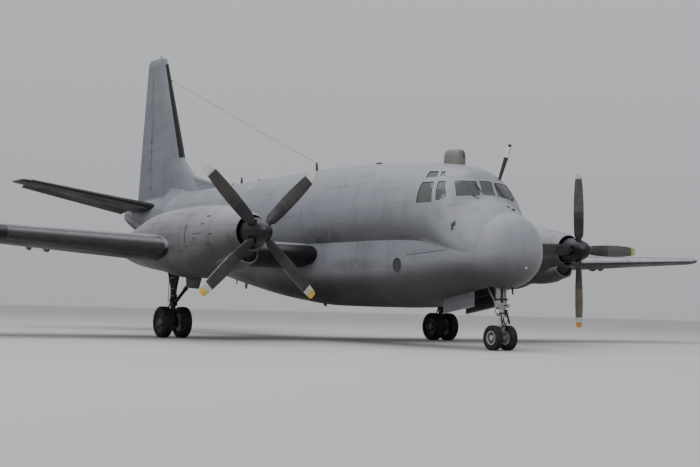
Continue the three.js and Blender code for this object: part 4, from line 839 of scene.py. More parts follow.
def rudder_ring(z):
    """The rudder's section, and the radius of its rounded nose."""
    leading, trailing, thickness = fin_at(z)
    chord = trailing - leading
    start = (HINGE_Y - leading) / chord
    shares = start + (1 - start) * np.linspace(0, 1, 14)
    depth = [half_depth(s, thickness) * chord for s in shares]
    right = [(d, leading + s * chord, z) for s, d in zip(shares, depth)]
    left = [(-d, leading + s * chord, z) for s, d in zip(shares, depth)][::-1]
    radius = depth[0]
    turn = np.linspace(0, math.pi, 13)[1:-1]
    return right + left + [(-radius * math.cos(t), HINGE_Y - radius * math.sin(t), z) for t in turn], radius


fin_rings = [upright_ring(z, *fin_at(z)) for z in np.linspace(FIN[0, 0], FIN_TOP, 40)]
_, leading, trailing, thickness = FIN[-1]
for a in np.linspace(0, math.pi / 2, 9)[1:]:
    top, k = FIN_TOP + 0.33 * math.sin(a), 1 - math.cos(a)
    fin_rings.append(upright_ring(top, leading + 0.7 * k, trailing - 0.245 * k, thickness - 0.07 * k))
room_low, room_high = RUDDER[0] - GAP, RUDDER[1] + GAP
room_rings = []
for z in np.linspace(room_low, room_high, 16):
    radius = rudder_ring(z)[1] + 0.014
    room_rings.append([(radius * math.cos(t), HINGE_Y + radius * math.sin(t), z) for t in around(32)])
fin_room = [loft("room", room_rings, DARK),
            block("slab", (-0.4, HINGE_Y, room_low), (0.4, 15.3, room_high), DARK, 0)]
settle(combine(loft("fin_skin", fin_rings, TAIL_PAINT), fin_room), node="fin")
rudder_rings = [rudder_ring(z)[0] for z in np.linspace(*RUDDER, 16)]
settle(loft("rudder_skin", rudder_rings, TAIL_PAINT), "rudder", node="rudder")


def seal_y(z):
    """The station of the rudder's seal, which leans aft with height."""
    return 13.36 + 0.18 * (z - 5.39) / 4.94


strips = []
for side in (-1, 1):
    line = [(side * (fin_half(seal_y(z), z) - 0.006), seal_y(z), z) for z in np.linspace(5.7, 10.8, 12)]
    strips.append(tube("strip", line, 0.014, MAST_DARK, 10))
for z, tall in ((7.87, 0.10), (7.42, 0.04), (5.88, 0.07)):
    y = seal_y(z)
    for x in (-fin_half(y, z), fin_half(y, z)):
        low, high = (x - 0.018, y - 0.035, z - tall), (x + 0.018, y + 0.035, z + tall)
        strips.append(block("fitting", low, high, MAST_DARK))
join("rudder_seal_strips", strips, "rudder")

# Dorsal fillet: a ridge that rises out of the spine and flares at its foot, as (station, top, half-width)
RIDGE = np.array([
    (6.9, 5.56, 0.02), (8.3, 5.87, 0.05), (9.56, 6.2, 0.08), (10.42, 6.8, 0.1), (11.2, 6.9, 0.11),
])
RIDGE_FOOT = 5.3
fillet_rings = []
for y in np.linspace(RIDGE[0, 0], RIDGE[-1, 0], 30):
    top, half = smooth(RIDGE[:, 0], RIDGE[:, 1:], y)
    right = []
    for u in np.linspace(0, 1, 12):
        width = half * math.sqrt(min(1, 14 * u)) + (0.08 + 0.42 * half / 0.1) * u ** 5
        right.append((width, y, top + (RIDGE_FOOT - top) * u))
    fillet_rings.append(right + [(-x, y, z) for x, y, z in right[::-1]])
settle(loft("dorsal_fillet", fillet_rings, TAIL_PAINT))

# The fin's boot is made lying down, as a wing's, and stood up
upright = [(z, *fin_at(z)) for z in np.linspace(6.95, 11.0, 10)]
fin_boot = boot([(z, l, t - l, 0.0, thick) for z, l, t, thick in upright], 0.052)
fin_boot.name = "fin_boot"
for vertex in fin_boot.data.vertices:
    vertex.co = vertex.co.zyx
fin_boot.data.flip_normals()
settle(fin_boot)

# Nacelles: a ring's shape is the wider of a rounded box and the oil cooler's chin
HUB = (5.75, -6.524, 3.06)
NACELLE = np.array([
    # station, top, bottom, half-width, middle's shift inboard, squareness, chin radius, chin height
    (-6.05, 3.565, 2.555, 0.505, 0.0, 2.0, 0.02, 2.62),
    (-5.90, 3.625, 2.485, 0.560, 0.0, 2.0, 0.05, 2.56),
    (-5.70, 3.668, 2.423, 0.595, 0.0, 2.0, 0.29, 2.47),
    (-5.42, 3.735, 2.335, 0.645, 0.005, 2.05, 0.36, 2.42),
    (-4.82, 3.840, 2.200, 0.715, 0.015, 2.1, 0.36, 2.36),
    (-4.05, 3.905, 1.990, 0.775, 0.032, 2.2, 0.32, 2.36),
    (-3.35, 3.930, 1.825, 0.800, 0.045, 2.3, 0.15, 2.40),
    (-2.30, 3.930, 1.830, 0.805, 0.050, 2.35, 0.05, 2.40),
    (-0.80, 3.860, 2.010, 0.790, 0.045, 2.3, 0.05, 2.40),
    (0.80, 3.530, 2.190, 0.670, 0.025, 2.2, 0.05, 2.40),
    (2.00, 3.150, 2.410, 0.385, 0.010, 2.1, 0.02, 2.60),
    (2.80, 2.850, 2.600, 0.110, 0.0, 2.0, 0.01, 2.70),
])
CHIN_BLEND = 0.13


def nacelle_ring(y, inset=0.0, sides=84):
    top, bottom, half, inboard, power, chin, chin_z = smooth(NACELLE[:, 0], NACELLE[:, 1:], y)
    middle_x, middle = HUB[0] - inboard, (top + bottom) / 2
    half, tall = half - inset, (top - bottom) / 2 - inset
    chin = max(chin - inset, 0.001)
    ring = []
    for a in around(sides):
        c, s = math.cos(a), math.sin(a)
        reach = (abs(c / half) ** power + abs(s / tall) ** power) ** (-1 / power)
        down = chin_z - middle
        inside = chin ** 2 - (down * c) ** 2
        if inside > 0 and s < 0:
            other = down * s + math.sqrt(inside)
            gap = max(CHIN_BLEND - abs(reach - other), 0) / CHIN_BLEND
            reach = max(reach, other) + gap * gap * CHIN_BLEND * 0.25
        ring.append((middle_x + reach * c, y, middle + reach * s))
    return ring


def oval(y, z, wide, tall=None, sides=84):
    """An upright oval round the nacelle's middle line."""
    return [(HUB[0] + wide * math.cos(a), y, z + (tall or wide) * math.sin(a)) for a in around(sides)]


COWL_FRONT, COWL_END = NACELLE[0, 0], NACELLE[-1, 0]
rings = [nacelle_ring(y) for y in (*np.linspace(COWL_FRONT, -5.2, 16), *np.linspace(-5.1, COWL_END, 60))]
rings += [[tuple(np.array((HUB[0], COWL_END, 2.725)) * (1 - k) + np.array(p) * k + np.array((0, d, 0)))
           for p in rings[-1]] for k, d in ((0.8, 0.03), (0.4, 0.045))]
# The intake's duct and lip, from the inside out, as (station, radius)
LIP = [(-5.0, 0.30), (-5.5, 0.40), (-5.8, 0.452), (-6.04, 0.47), (-6.058, 0.478), (-6.066, 0.488),
       (-6.062, 0.498)]
hull = loft("nacelle", [oval(y, HUB[2], radius) for y, radius in LIP] + rings, NACELLE_PAINT)
main_bay = block("bay", (5.05, -3.05, 1.5), (5.76, 0.48, 2.25), DARK, 0)
pair(combine(hull, [main_bay]), "nacelle_skin", node="nacelle_{}")


def cowl_x(y, z, lift):
    """The cowling's outboard side at a station and height, and a lift off it."""
    side = np.array([p for p in nacelle_ring(y, -lift, 240) if p[0] > HUB[0]])
    side = side[side[:, 2].argsort()]
    return np.interp(z, side[:, 2], side[:, 0])


# Vents and catches on the cowling's outboard side, as (rear, front, low, high)
COWL_MARKS = [
    (-3.38, -3.43, 2.78, 3.34), (-3.90, -3.98, 3.03, 3.07), (-4.06, -4.14, 3.03, 3.07),
    (-4.22, -4.30, 3.03, 3.07), (-3.92, -4.05, 2.89, 2.935), (-4.48, -4.66, 3.52, 3.56),
    (-4.28, -4.50, 3.31, 3.335), (-4.82, -5.00, 3.0, 3.035), (-4.64, -4.92, 2.70, 2.75),
    (-3.40, -3.62, 2.69, 2.72), (-3.63, -3.70, 2.47, 2.52), (-4.29, -4.35, 2.48, 2.53),
]
marks = []
for rear, front, low, high in COWL_MARKS:
    heights = np.linspace(low, high, 2 + int((high - low) / 0.08))
    marks.append(loft("mark", [[(cowl_x(y, z, 0.004), y, z) for z in heights] +
                               [(cowl_x(y, z, -0.006), y, z) for z in heights[::-1]]
                               for y in np.linspace(front, rear, 4)], BAY))
pair(join("marks", marks), "cowl_vents")

# The oil cooler's scoop, as (station, height, half-width, half-height, how far the sides lie aft)
SCOOP_OUTER = [
    (-5.97, 2.46, 0.312, 0.232, 0.115), (-5.965, 2.46, 0.33, 0.25, 0.12), (-5.85, 2.455, 0.348, 0.270, 0.10),
    (-5.55, 2.43, 0.372, 0.315, 0.0), (-5.1, 2.39, 0.37, 0.34, 0.0), (-4.7, 2.34, 0.38, 0.34, 0.0),
    (-4.2, 2.37, 0.34, 0.32, 0.0), (-3.7, 2.40, 0.30, 0.30, 0.0),
]
SCOOP_INNER = [
    (-5.962, 2.46, 0.302, 0.222, 0.115), (-5.94, 2.46, 0.298, 0.218, 0.11), (-5.8, 2.455, 0.31, 0.235, 0.08),
    (-5.55, 2.43, 0.33, 0.27, 0.0), (-5.2, 2.43, 0.32, 0.262, 0.0), (-5.1, 2.43, 0.315, 0.26, 0.0),
    (-5.05, 2.43, 0.31, 0.257, 0.0), (-5.0, 2.43, 0.305, 0.255, 0.0),
]


def swept(y, z, wide, tall, sweep):
    """An oval whose sides lie aft of its middle."""
    return [(x, y + sweep * ((x - HUB[0]) / wide) ** 2, h) for x, _, h in oval(y, z, wide, tall, 64)]


scoop = [[swept(*ring) for ring in rings] for rings in (SCOOP_OUTER, SCOOP_INNER)]
pair(shell("scoop", *scoop, NACELLE_PAINT), "cooler_scoop")
COOLER_Z = 2.455
# A black plug behind the scoop's mouth and dark fins: painted shade inside the oil cooler
matrix = [loft("back", [oval(y, COOLER_Z, 0.322, 0.25, 64) for y in (-5.80, -5.76)], DARK)]
for x in HUB[0] + np.linspace(-0.2, 0.2, 11):
    matrix.append(rod("fin", (x, -5.82, COOLER_Z - 0.2), (x, -5.82, COOLER_Z + 0.2), 0.006, DARK, sides=6))
pair(join("back", matrix), "cooler_matrix")
# A black core behind the spinner: painted shade inside the engine's intake
core = [(0.0, 0), (0.30, 0.02), (0.36, 0.3), (0.38, 0.6)]
pair(turned("core", core, (HUB[0], -6.0, HUB[2]), AFT, DARK), "intake_core")


# Propellers and spinners
BLADE_ANGLES = dict(port=1.4, starboard=45.3)
BLADE_COUNT = 4
BLADE_ROOT = plain("blade_root_boot", (0.011, 0.011, 0.012), 0.5, wear=0.3)
BLADE_EDGE = plain("blade_edge_metal", (0.20, 0.195, 0.18), 0.4, metal=0.5, wear=0.4)
FADE = plain("blade_faded_root", (0.034, 0.032, 0.030), 0.45, wear=0.4, scale=4)
# A darker copy of the blade paint: painted shade on the starboard propeller's blade faces
BLADE_PAINTED_SHADE = plain("blade_painted_shade", (0.040, 0.0375, 0.035), 0.45, wear=0.35, scale=4)
FACE, BROWN, OLIVE = (plain("blade_" + name, tone, 0.42, wear=0.35, scale=4) for name, tone in (
    ("paint", (0.085, 0.082, 0.074)), ("brown_paint", (0.045, 0.036, 0.029)),
    ("olive_paint", (0.105, 0.088, 0.050))))
BAND, PALE, YELLOW, LIME, ORANGE = (plain("blade_" + name, tone, 0.45) for name, tone in (
    ("band", (0.46, 0.47, 0.46)), ("pale_tip", (0.56, 0.56, 0.53)), ("tip", (0.62, 0.43, 0.05)),
    ("lime_tip", (0.42, 0.42, 0.09)), ("orange_tip", (0.55, 0.25, 0.05))))
# Each blade's face, band and tip: the first of a propeller points most to port, the others follow upwards
BLADE_FINISH = dict(
    port=[(FACE, FACE, LIME), (FACE, FACE, PALE), (BROWN, BROWN, BROWN), (OLIVE, BAND, ORANGE)],
    # The starboard blades' faces carry the painted shade
    starboard=[(BLADE_PAINTED_SHADE, PALE, PALE), (BLADE_PAINTED_SHADE, PALE, PALE), (BLADE_PAINTED_SHADE, BAND, YELLOW), (BLADE_PAINTED_SHADE, BAND, YELLOW)],
)
BLADE = np.array([
    # distance from the hub, chord, thickness, twist in degrees
    (0.30, 0.17, 0.170, 24), (0.385, 0.18, 0.165, 22), (0.43, 0.28, 0.150, 20), (0.50, 0.305, 0.130, 19),
    (0.75, 0.345, 0.088, 15), (1.40, 0.378, 0.052, 8.6), (2.00, 0.330, 0.034, 4), (2.30, 0.265, 0.022, 3),
    (2.44, 0.25, 0.02, 3),
])
# Where the root's boot, the faded root, the face and the band end
BLADE_LIMITS = (1.0, 1.22, 2.121, 2.271)
TIP_START = 2.33


def blade_ring(r, chord, depth, twist, steps=16):
    """A section that is round at the root and a cambered foil further out."""
    shares = [(1 - math.cos(math.pi * k / steps)) / 2 for k in range(steps + 1)]
    roundness = min(1.0, max(0.0, (depth / chord - 0.2) / 0.6))
    front, back = [], []
    for s in shares:
        foil = half_depth(s, 1.0) * 2
        disc = 2 * math.sqrt(max(s * (1 - s), 0))
        across = (0.5 - s) * chord
        half = depth / 2 * (foil * (1 - roundness) + disc * roundness)
        camber = 0.22 * depth * (1 - roundness) * math.sin(math.pi * s)
        front.append((across, -half - camber))
        back.append((across, half * 0.75 - camber))
    turn = -math.radians(twist)
    return [(a * math.cos(turn) - t * math.sin(turn), a * math.sin(turn) + t * math.cos(turn) - AXLE, r)
            for a, t in front + back[-2:0:-1]]


def blade_piece(finish):
    reaches = [*np.linspace(0.30, 0.98, 10), *np.linspace(1.05, 1.17, 3), *np.linspace(1.30, 2.05, 8), 2.20]
    reaches = sorted(reaches + [TIP_START] + [r + d for r in BLADE_LIMITS for d in (-0.001, 0.001)])
    rings = [blade_ring(r, *smooth(BLADE[:, 0], BLADE[:, 1:], r)) for r in reaches]
    for a in np.linspace(0, math.pi / 2, 8)[1:]:
        narrow = max(math.cos(a), 0.0) ** 0.55
        rings.append(blade_ring(TIP_START + 0.108 * math.sin(a), 0.234 * narrow + 0.024,
                                0.018 * math.cos(a) + 0.004, 3))
    piece = loft("blade", rings, BLADE_ROOT)
    for material in (FADE, *finish, BLADE_EDGE):
        piece.data.materials.append(material)
    for face in piece.data.polygons:
        x, y, r = face.center
        zone = sum(r > limit for limit in BLADE_LIMITS)
        if 1.23 < r < 2.12:
            chord, _, twist = smooth(BLADE[:, 0], BLADE[:, 1:], r)
            if x / math.cos(math.radians(twist)) > 0.462 * chord:
                zone = len(BLADE_LIMITS) + 1
        face.material_index = zone
    return piece


def spinner_profile(radius, rear, tip, steps=26):
    return [(radius * math.sqrt(max(1 - s ** 1.8, 0)), rear + (tip - rear) * s)
            for s in np.sin(np.linspace(0, math.pi / 2, steps))]


HUB_PROFILE = [(0.0, -0.25), (0.19, -0.25), (0.23, -0.15), (0.23, 0.2), (0.372, 0.26), (0.376, 0.35),
               (0.0, 0.354)]
BOLT_PROFILE = [(0.0, 0), (0.007, 0.001), (0.007, 0.003), (0.0, 0.005)]
for side, m in SIDES:
    centre = (m * HUB[0], HUB[1], HUB[2])
    place = Matrix.Translation((centre[0], HUB[1] + AXLE, HUB[2]))

    def out_from_hub(angle, distance, aft=0.0):
        x, y, z = centre
        return (x + distance * math.cos(angle), y + aft, z + distance * math.sin(angle))

    parts, blade_holes = [], []
    for k, finish in enumerate(BLADE_FINISH[side]):
        blade = blade_piece(finish)
        lean = math.radians(90 - BLADE_ANGLES[side] - 90 * k)
        blade.data.transform(place @ Matrix.Rotation(lean, 4, "Y"))
        parts.append(blade)
    parts.append(turned("hub", HUB_PROFILE, centre, AFT, DARK))
    join("propeller_blades_" + side, parts, "propeller_" + side, node="propeller_" + side)
    cone = turned("cone", [(0.0, 0.424), (0.384, 0.424), (0.394, 0.424), *spinner_profile(0.4, 0.414, -0.48)],
                  centre, AFT, SPINNER, 72)
    for k in range(BLADE_COUNT):
        a = math.radians(BLADE_ANGLES[side] + 90 * k)
        blade_holes.append(rod("hole", out_from_hub(a, 0.22), out_from_hub(a, 0.6), 0.134, DARK, sides=28,
                               edge=0.0))
    combine(cone, blade_holes)
    bolts = [turned("bolt", BOLT_PROFILE, out_from_hub(a, 0.394, 0.36), (math.cos(a), 0, math.sin(a)),
                    LIP_METAL, 8) for a in around(24) + math.radians(7.5)]
    join("spinner_cone_" + side, [cone, *bolts], "propeller_" + side, node="spinner_" + side)


# Wheels and tyres
def tyre_profile(radius, width, rim, grooves):
    """The tyre's section as (radius, across): a wall, a crown with grooves, and the other wall."""
    half = width / 2
    depth = radius - rim
    crown = []
    for k in range(grooves):
        x = half * 0.62 * (-1 + 2 * k / (grooves - 1))
        level = radius - radius * 0.012 * (x / (half * 0.7)) ** 2
        foot = level - radius * 0.022
        crown += [(level, x - 0.009), (foot, x - 0.006), (foot, x + 0.006), (level, x + 0.009)]
    wall = [(rim, 0.62), (rim + 0.018, 0.74), (rim + 0.25 * depth, 0.93), (rim + 0.48 * depth, 1.0),
            (rim + 0.70 * depth, 0.965), (radius - 0.065 * radius, 0.86), (radius - 0.028 * radius, 0.76)]
    return [(r, -x * half) for r, x in wall] + crown + [(r, x * half) for r, x in wall[::-1]]


def tyre(name, body, node, x, y, radius, width, rim, sides=84):
    outline = tyre_profile(radius, width, rim, 5 if width > 0.3 else 4)
    points = [(x + along, y + r * math.sin(a), radius - r * math.cos(a))
              for a in around(sides) for r, along in outline]
    columns = len(outline)
    last = (sides - 1) * columns
    faces = grid_faces(sides, columns)
    faces += [(last + j, last + (j + 1) % columns, (j + 1) % columns, j) for j in range(columns)]
    settle(raw(name, points, faces, TYRE), body, 25, node)


def wheel(x, y, radius, width, rim, out, axle, edge, inner, bolts):
    """A rim with nuts and vent holes; the rim's edge and hub cap have one finish and its face another."""
    h = width * 0.5
    flange = [(-0.022, -0.66), (0.016, -0.72), (0.018, -0.64), (-0.004, -0.55), (-0.006, 0.5), (0.016, 0.6),
              (0.020, 0.72), (0.006, 0.76), (-0.012, 0.72), (-0.03, 0.5)]
    dish = [(0.84, 0.36), (0.62, 0.30), (0.5, 0.42), (0.46, 0.5)]
    cap = [(1.9, 0.52), (1.75, 0.66), (1.2, 0.74)]
    profile = [(0.0, -h * 0.5), (rim * 0.7, -h * 0.52), *[(rim + r, h * k) for r, k in flange],
               *[(rim * r, h * k) for r, k in dish], *[(axle * r, h * k) for r, k in cap], (0.0, h * 0.76)]
    disc = turned("disc", profile, (x, y, radius), (out, 0, 0), edge, 64)
    disc.data.materials.append(inner)
    hub = Vector((x, y + AXLE, radius))
    for face in disc.data.polygons:
        away = face.center - hub
        away.x = 0
        face.material_index = int(not (rim * 0.93 < away.length or away.length < axle * 1.6))
    nut = [(0.0, 0), (0.014, 0), (0.014, 0.02), (0.008, 0.022), (0.007, 0.034), (0.0, 0.035)]
    # The vent holes are dark discs of painted shade
    vent = [(0.0, 0), (0.026, 0), (0.024, 0.006), (0.0, 0.007)]
    parts = [disc]
    circles = ((nut, around(bolts), rim * 0.73, 0.32, LIP_METAL, 6),
               (vent, around(bolts // 2) + 0.2, rim * 0.56, 0.345, DARK, 16))
    for section, angles, r, lift, material, sides in circles:
        for a in angles:
            place = (x + out * h * lift, y + r * math.sin(a), radius + r * math.cos(a))
            parts.append(turned("fitting", section, place, (out, 0, 0), material, sides))
    return parts


def wheel_set(stem, body, x, y, radius, spacing, width, rim, axle, finishes, bolts):
    """Twin rims on an axle."""
    low, high = x - spacing / 2, x + spacing / 2
    join(stem, [*wheel(low, y, radius, width, rim, -1, axle, *finishes, bolts),
                *wheel(high, y, radius, width, rim, 1, axle, *finishes, bolts),
                rod("axle", (low, y, radius), (high, y, radius), axle * 0.985, LEG_SILVER, sides=32)],
         body, node=body)


MAIN_X, MAIN_WHEEL = 5.2, dict(radius=0.484, width=0.33, rim=0.262)
NOSE_Y, NOSE_WHEEL = -9.77, dict(radius=0.342, width=0.215, rim=0.175)
for side, m in SIDES:
    wheel_set("main_rims_" + side, "main_wheels_" + side, m * MAIN_X, 0.0, spacing=0.64, axle=0.07,
              finishes=(RIM_WORN, RIM_DARK), bolts=12, **MAIN_WHEEL)
    for place, x in (("inner", 4.88), ("outer", 5.52)):
        tyre("main_tyre_rubber_%s_%s" % (place, side), "main_wheels_" + side,
             "main_tyre_%s_%s" % (place, side), m * x, 0.0, **MAIN_WHEEL)
wheel_set("nose_rims", "nose_wheels", 0.0, NOSE_Y, spacing=0.5, axle=0.042,
          finishes=(RIM_PALE, RIM_INNER), bolts=8, **NOSE_WHEEL)
for side, m in SIDES:
    tyre("nose_tyre_rubber_" + side, "nose_wheels", "nose_tyre_" + side, m * 0.25, NOSE_Y, **NOSE_WHEEL)


class Leg:
    """Gathers the parts of a landing gear leg, placed from the foot of its axis on the ground."""

    def __init__(self, x, y):
        self.foot = (x, y, 0)
        self.parts = []

    def at(self, place):
        return tuple(a + b for a, b in zip(self.foot, place))

    def bar(self, name, start, end, radius, material=LEG_DARK, sides=20, edge=0.15):
        self.parts.append(rod(name, self.at(start), self.at(end), radius, material, sides=sides, edge=edge))

    def pin(self, name, half, y, z, radius, material=LEG_DARK, sides=20):
        self.bar(name, (-half, y, z), (half, y, z), radius, material, sides)

    def ring(self, name, profile, material=LEG_DARK, sides=32, centre=(0, 0, 0), axis=UP):
        self.parts.append(turned(name, profile, self.at(centre), axis, material, sides))

    def box(self, name, low, high, material=LEG_DARK, bevel=0.015):
        self.parts.append(block(name, self.at(low), self.at(high), material, bevel))

    def link(self, name, outline, x, half, material=LEG_DARK):
        """A flat arm, outlined as (y, z), at x."""
        x += self.foot[0]
        outline = [(self.foot[1] + y, z) for y, z in outline]
        self.parts.append(prism(name, outline, "x", x - half, x + half, material, 0.006))

    def hose(self, name, points, radius=0.010):
        self.parts.append(tube(name, [self.at(p) for p in points], radius, HOSE))


main = Leg(MAIN_X, 0)
main.box("top", (-0.13, -0.16, 2.16), (0.13, 0.16, 2.249))
main.ring("cylinder", [(0.0, 1.10), (0.10, 1.10), (0.122, 1.12), (0.122, 1.2), (0.10, 1.22), (0.10, 1.62),
                       (0.114, 1.64), (0.114, 1.72), (0.10, 1.74), (0.104, 2.2), (0.0, 2.2)], sides=40)
main.bar("piston", (0, 0, 0.5), (0, 0, 1.12), 0.082, sides=32)
main.ring("boss", [(0.0, 0.50), (0.095, 0.50), (0.105, 0.6), (0.088, 0.68), (0.0, 0.7)])
for x in (-0.055, 0.055):
    main.link("upper_link", [(0.07, 1.17), (0.07, 1.06), (0.245, 0.80), (0.268, 0.82)], x, 0.014)
for x in (-0.04, 0.04):
    main.link("lower_link", [(0.07, 0.545), (0.262, 0.80), (0.24, 0.83), (0.07, 0.67)], x, 0.012)
main.pin("knee", 0.08, 0.253, 0.815, 0.018, LEG_SILVER)
main.bar("brace", (0, -0.06, 1.04), (0, -1.75, 2.06), 0.052, sides=28)
main.bar("brace_collar", (0, -0.80, 1.487), (0, -0.92, 1.559), 0.066, sides=28)
main.bar("brace_sleeve", (0, -1.20, 1.728), (0, -1.60, 1.969), 0.062, sides=28)
main.pin("brace_foot", 0.09, -0.07, 1.05, 0.062, sides=28)
main.box("brace_head", (-0.075, -1.85, 2.01), (0.075, -1.65, 2.249))
for name, foot, head, radius in (("rear_stay", 0.04, 0.35, 0.054), ("front_stay", -0.04, -0.31, 0.066)):
    main.bar(name, (0, foot, 1.40), (0, head, 2.05), radius, sides=28)
    main.bar(name + "_top", (0, head, 2.02), (0, head, 2.245), radius + 0.006, sides=28)
main.hose("brake_hose", [(0.125, 0.03, 2.15), (0.14, 0.05, 1.7), (0.135, 0.08, 1.25), (0.10, 0.16, 1.0),
                         (0.085, 0.15, 0.75), (0.10, 0.05, 0.6)])
main.bar("side_jack", (0, 0.15, 1.16), (0, 0.165, 1.62), 0.034)
main.bar("side_jack_rod", (0, 0.165, 1.60), (0, 0.20, 2.0), 0.020, LEG_SILVER, 16)
main.bar("side_jack_foot", (0, 0.06, 1.17), (0, 0.16, 1.17), 0.03, sides=16)
main.bar("valve_body", (0, -0.135, 1.30), (0, -0.155, 1.58), 0.032)
main.box("valve_block", (-0.06, -0.17, 1.24), (0.06, -0.09, 1.34), bevel=0.012)
main.hose("valve_hose", [(-0.02, -0.15, 1.56), (-0.04, -0.2, 1.75), (-0.05, -0.15, 2.1)])
main.pin("lug", 0.07, 0, 0.484, 0.128, sides=40)
for low, high in ((-0.135, -0.072), (0.072, 0.135)):
    main.bar("brake", (low, 0, 0.484), (high, 0, 0.484), 0.175, sides=40, edge=0.08)
for z in (1.30, 1.52, 1.86, 2.02):
    main.ring("clamp", [(0.0, z), (0.118, z), (0.118, z + 0.018), (0.0, z + 0.018)], LEG_SILVER)
pair(join("leg", main.parts), "main_leg_strut", node="main_leg_{}")


def hanging_door(x, front, rear, lower, sense, outside, edge):
    """A door hung from a rod between (station, height) ends, with its ribbed inside facing sense."""
    thick = 0.024
    slope = (rear[1] - front[1]) / (rear[0] - front[0])

    def inwards(depth):
        return sorted((x + sense * thick, x + sense * (thick + depth)))

    def part_way(share):
        return front[0] + share * (rear[0] - front[0])

    outline = [(front[0] + 0.006, front[1]), (rear[0] - 0.006, rear[1])] + lower
    lining = [(y, min(z, front[1] - 0.03) if y < -0.01 else z) for y, z in grown(outline, -0.03)]
    parts = [prism("panel", outline, "x", *sorted((x, x + sense * thick)), outside, 0.003),
             prism("lining", lining, "x", *inwards(0.004), DOOR_DARK, 0.001)]
    low, high = inwards(0.014)
    for share in (0.2, 0.4, 0.6, 0.8):
        y = part_way(share)
        top = front[1] + share * (rear[1] - front[1]) - 0.035
        foot = np.interp(y, [p[0] for p in lower][::-1], [p[1] for p in lower][::-1]) + 0.04
        parts.append(block("rib", (low, y - 0.018, foot), (high, y + 0.018, top), DOOR_DARK, 0.003))
    middle = x + sense * thick / 2
    for p, q in zip(lower, lower[1:]):
        parts.append(rod("edge", (middle, *p), (middle, *q), 0.0135, edge, sides=10))
    start, end = (x, front[0] + 0.002, front[1]), (x, rear[0] - 0.002, rear[1])
    parts.append(rod("hinge", start, end, 0.0125, LEG_SILVER, sides=16))
    for share in (0.1, 0.3, 0.5, 0.7, 0.9):
        y = part_way(share)
        z = front[1] + slope * (y - front[0])
        parts.append(rod("knuckle", (x, y - 0.03, z - 0.03 * slope), (x, y + 0.03, z + 0.03 * slope), 0.017,
                         LEG_SILVER, sides=16))
    return join("door", parts)


nose_door = hanging_door(0.415, (-9.12, 1.585), (-7.69, 1.365),
                         [(-7.702, 0.968), (-8.3, 1.062), (-9.112, 1.195)], -1, PAINT, TRIM)
pair(nose_door, "nose_door_panel", "nose_bay_door_{}", "nose_bay_door_{}")
MAIN_DOORS = (("inner", 5.095, 2.18, 2.18, 0.33, 1), ("outer", 5.726, 1.85, 1.922, 0.37, -1))
for place, x, front, rear, depth, sense in MAIN_DOORS:
    lower = [(-2.00, rear - depth), (-2.82, front - depth + 0.04)]
    door = hanging_door(x, (-3.0, front), (-1.93, rear), lower, sense, DOOR_DARK, LEG_DARK)
    pair(door, "main_door_%s_panel" % place, "main_bay_door_%s_{}" % place, "main_bay_door_%s_{}" % place)

# Nose leg: twin tubes and a collar on the airframe, and the steered part below it
nose = Leg(0, NOSE_Y)
nose.box("head", (-0.29, -0.09, 1.99), (0.29, 0.13, 2.249), LEG_SILVER, 0.02)
nose.ring("collar", [(0.0, 1.131), (0.128, 1.131), (0.148, 1.145), (0.148, 1.2), (0.135, 1.21), (0.135, 1.24),
                     (0.15, 1.25), (0.15, 1.285), (0.12, 1.30), (0.0, 1.30)], LEG_SILVER, 40)
nose.ring("band", [(0.0, 1.207), (0.141, 1.207), (0.141, 1.243), (0.0, 1.243)], sides=40)
nose.box("clamp", (-0.185, -0.088, 1.365), (0.185, 0.085, 1.41))
nose.bar("boss", (-0.062, -0.095, 1.215), (-0.098, -0.152, 1.215), 0.05, TRIM, 28)
nose.bar("boss_plug", (-0.090, -0.14, 1.215), (-0.104, -0.162, 1.215), 0.02)
nose.box("brace_head", (-0.15, 0.56, 1.9), (0.15, 0.68, 2.249), LEG_SILVER)
nose.pin("steering_jacks", 0.225, -0.06, 1.215, 0.044, LEG_SILVER, 24)
for low, high in ((-0.235, -0.185), (0.185, 0.235)):
    nose.bar("jack_end", (low, -0.06, 1.215), (high, -0.06, 1.215), 0.053, LEG_SILVER, 24)
nose.pin("cross_tie", 0.10, 0, 1.62, 0.022, LEG_SILVER)
nose.bar("centre_rod", (0, -0.02, 1.29), (0, -0.02, 2.02), 0.03, sides=24)
nose.hose("hose", [(0.07, -0.07, 2.0), (0.05, -0.085, 1.7), (0.09, -0.09, 1.4), (0.1, -0.13, 1.2)], 0.009)
for s in (-1, 1):
    nose.bar("tube", (s * 0.103, 0, 1.24), (s * 0.103, 0, 2.15), 0.073, LEG_SILVER, 32)
    nose.bar("tube_foot", (s * 0.103, 0, 1.27), (s * 0.103, 0, 1.355), 0.080, LEG_SILVER, 32)
    nose.bar("brace", (s * 0.11, 0.06, 1.25), (s * 0.11, 0.62, 1.96), 0.03, LEG_SILVER, 24)
    nose.bar("brace_fork", (s * 0.11, 0.05, 1.235), (s * 0.11, 0.12, 1.325), 0.04, LEG_SILVER, 24)
join("nose_leg_strut", nose.parts, "airframe", node="nose_leg")

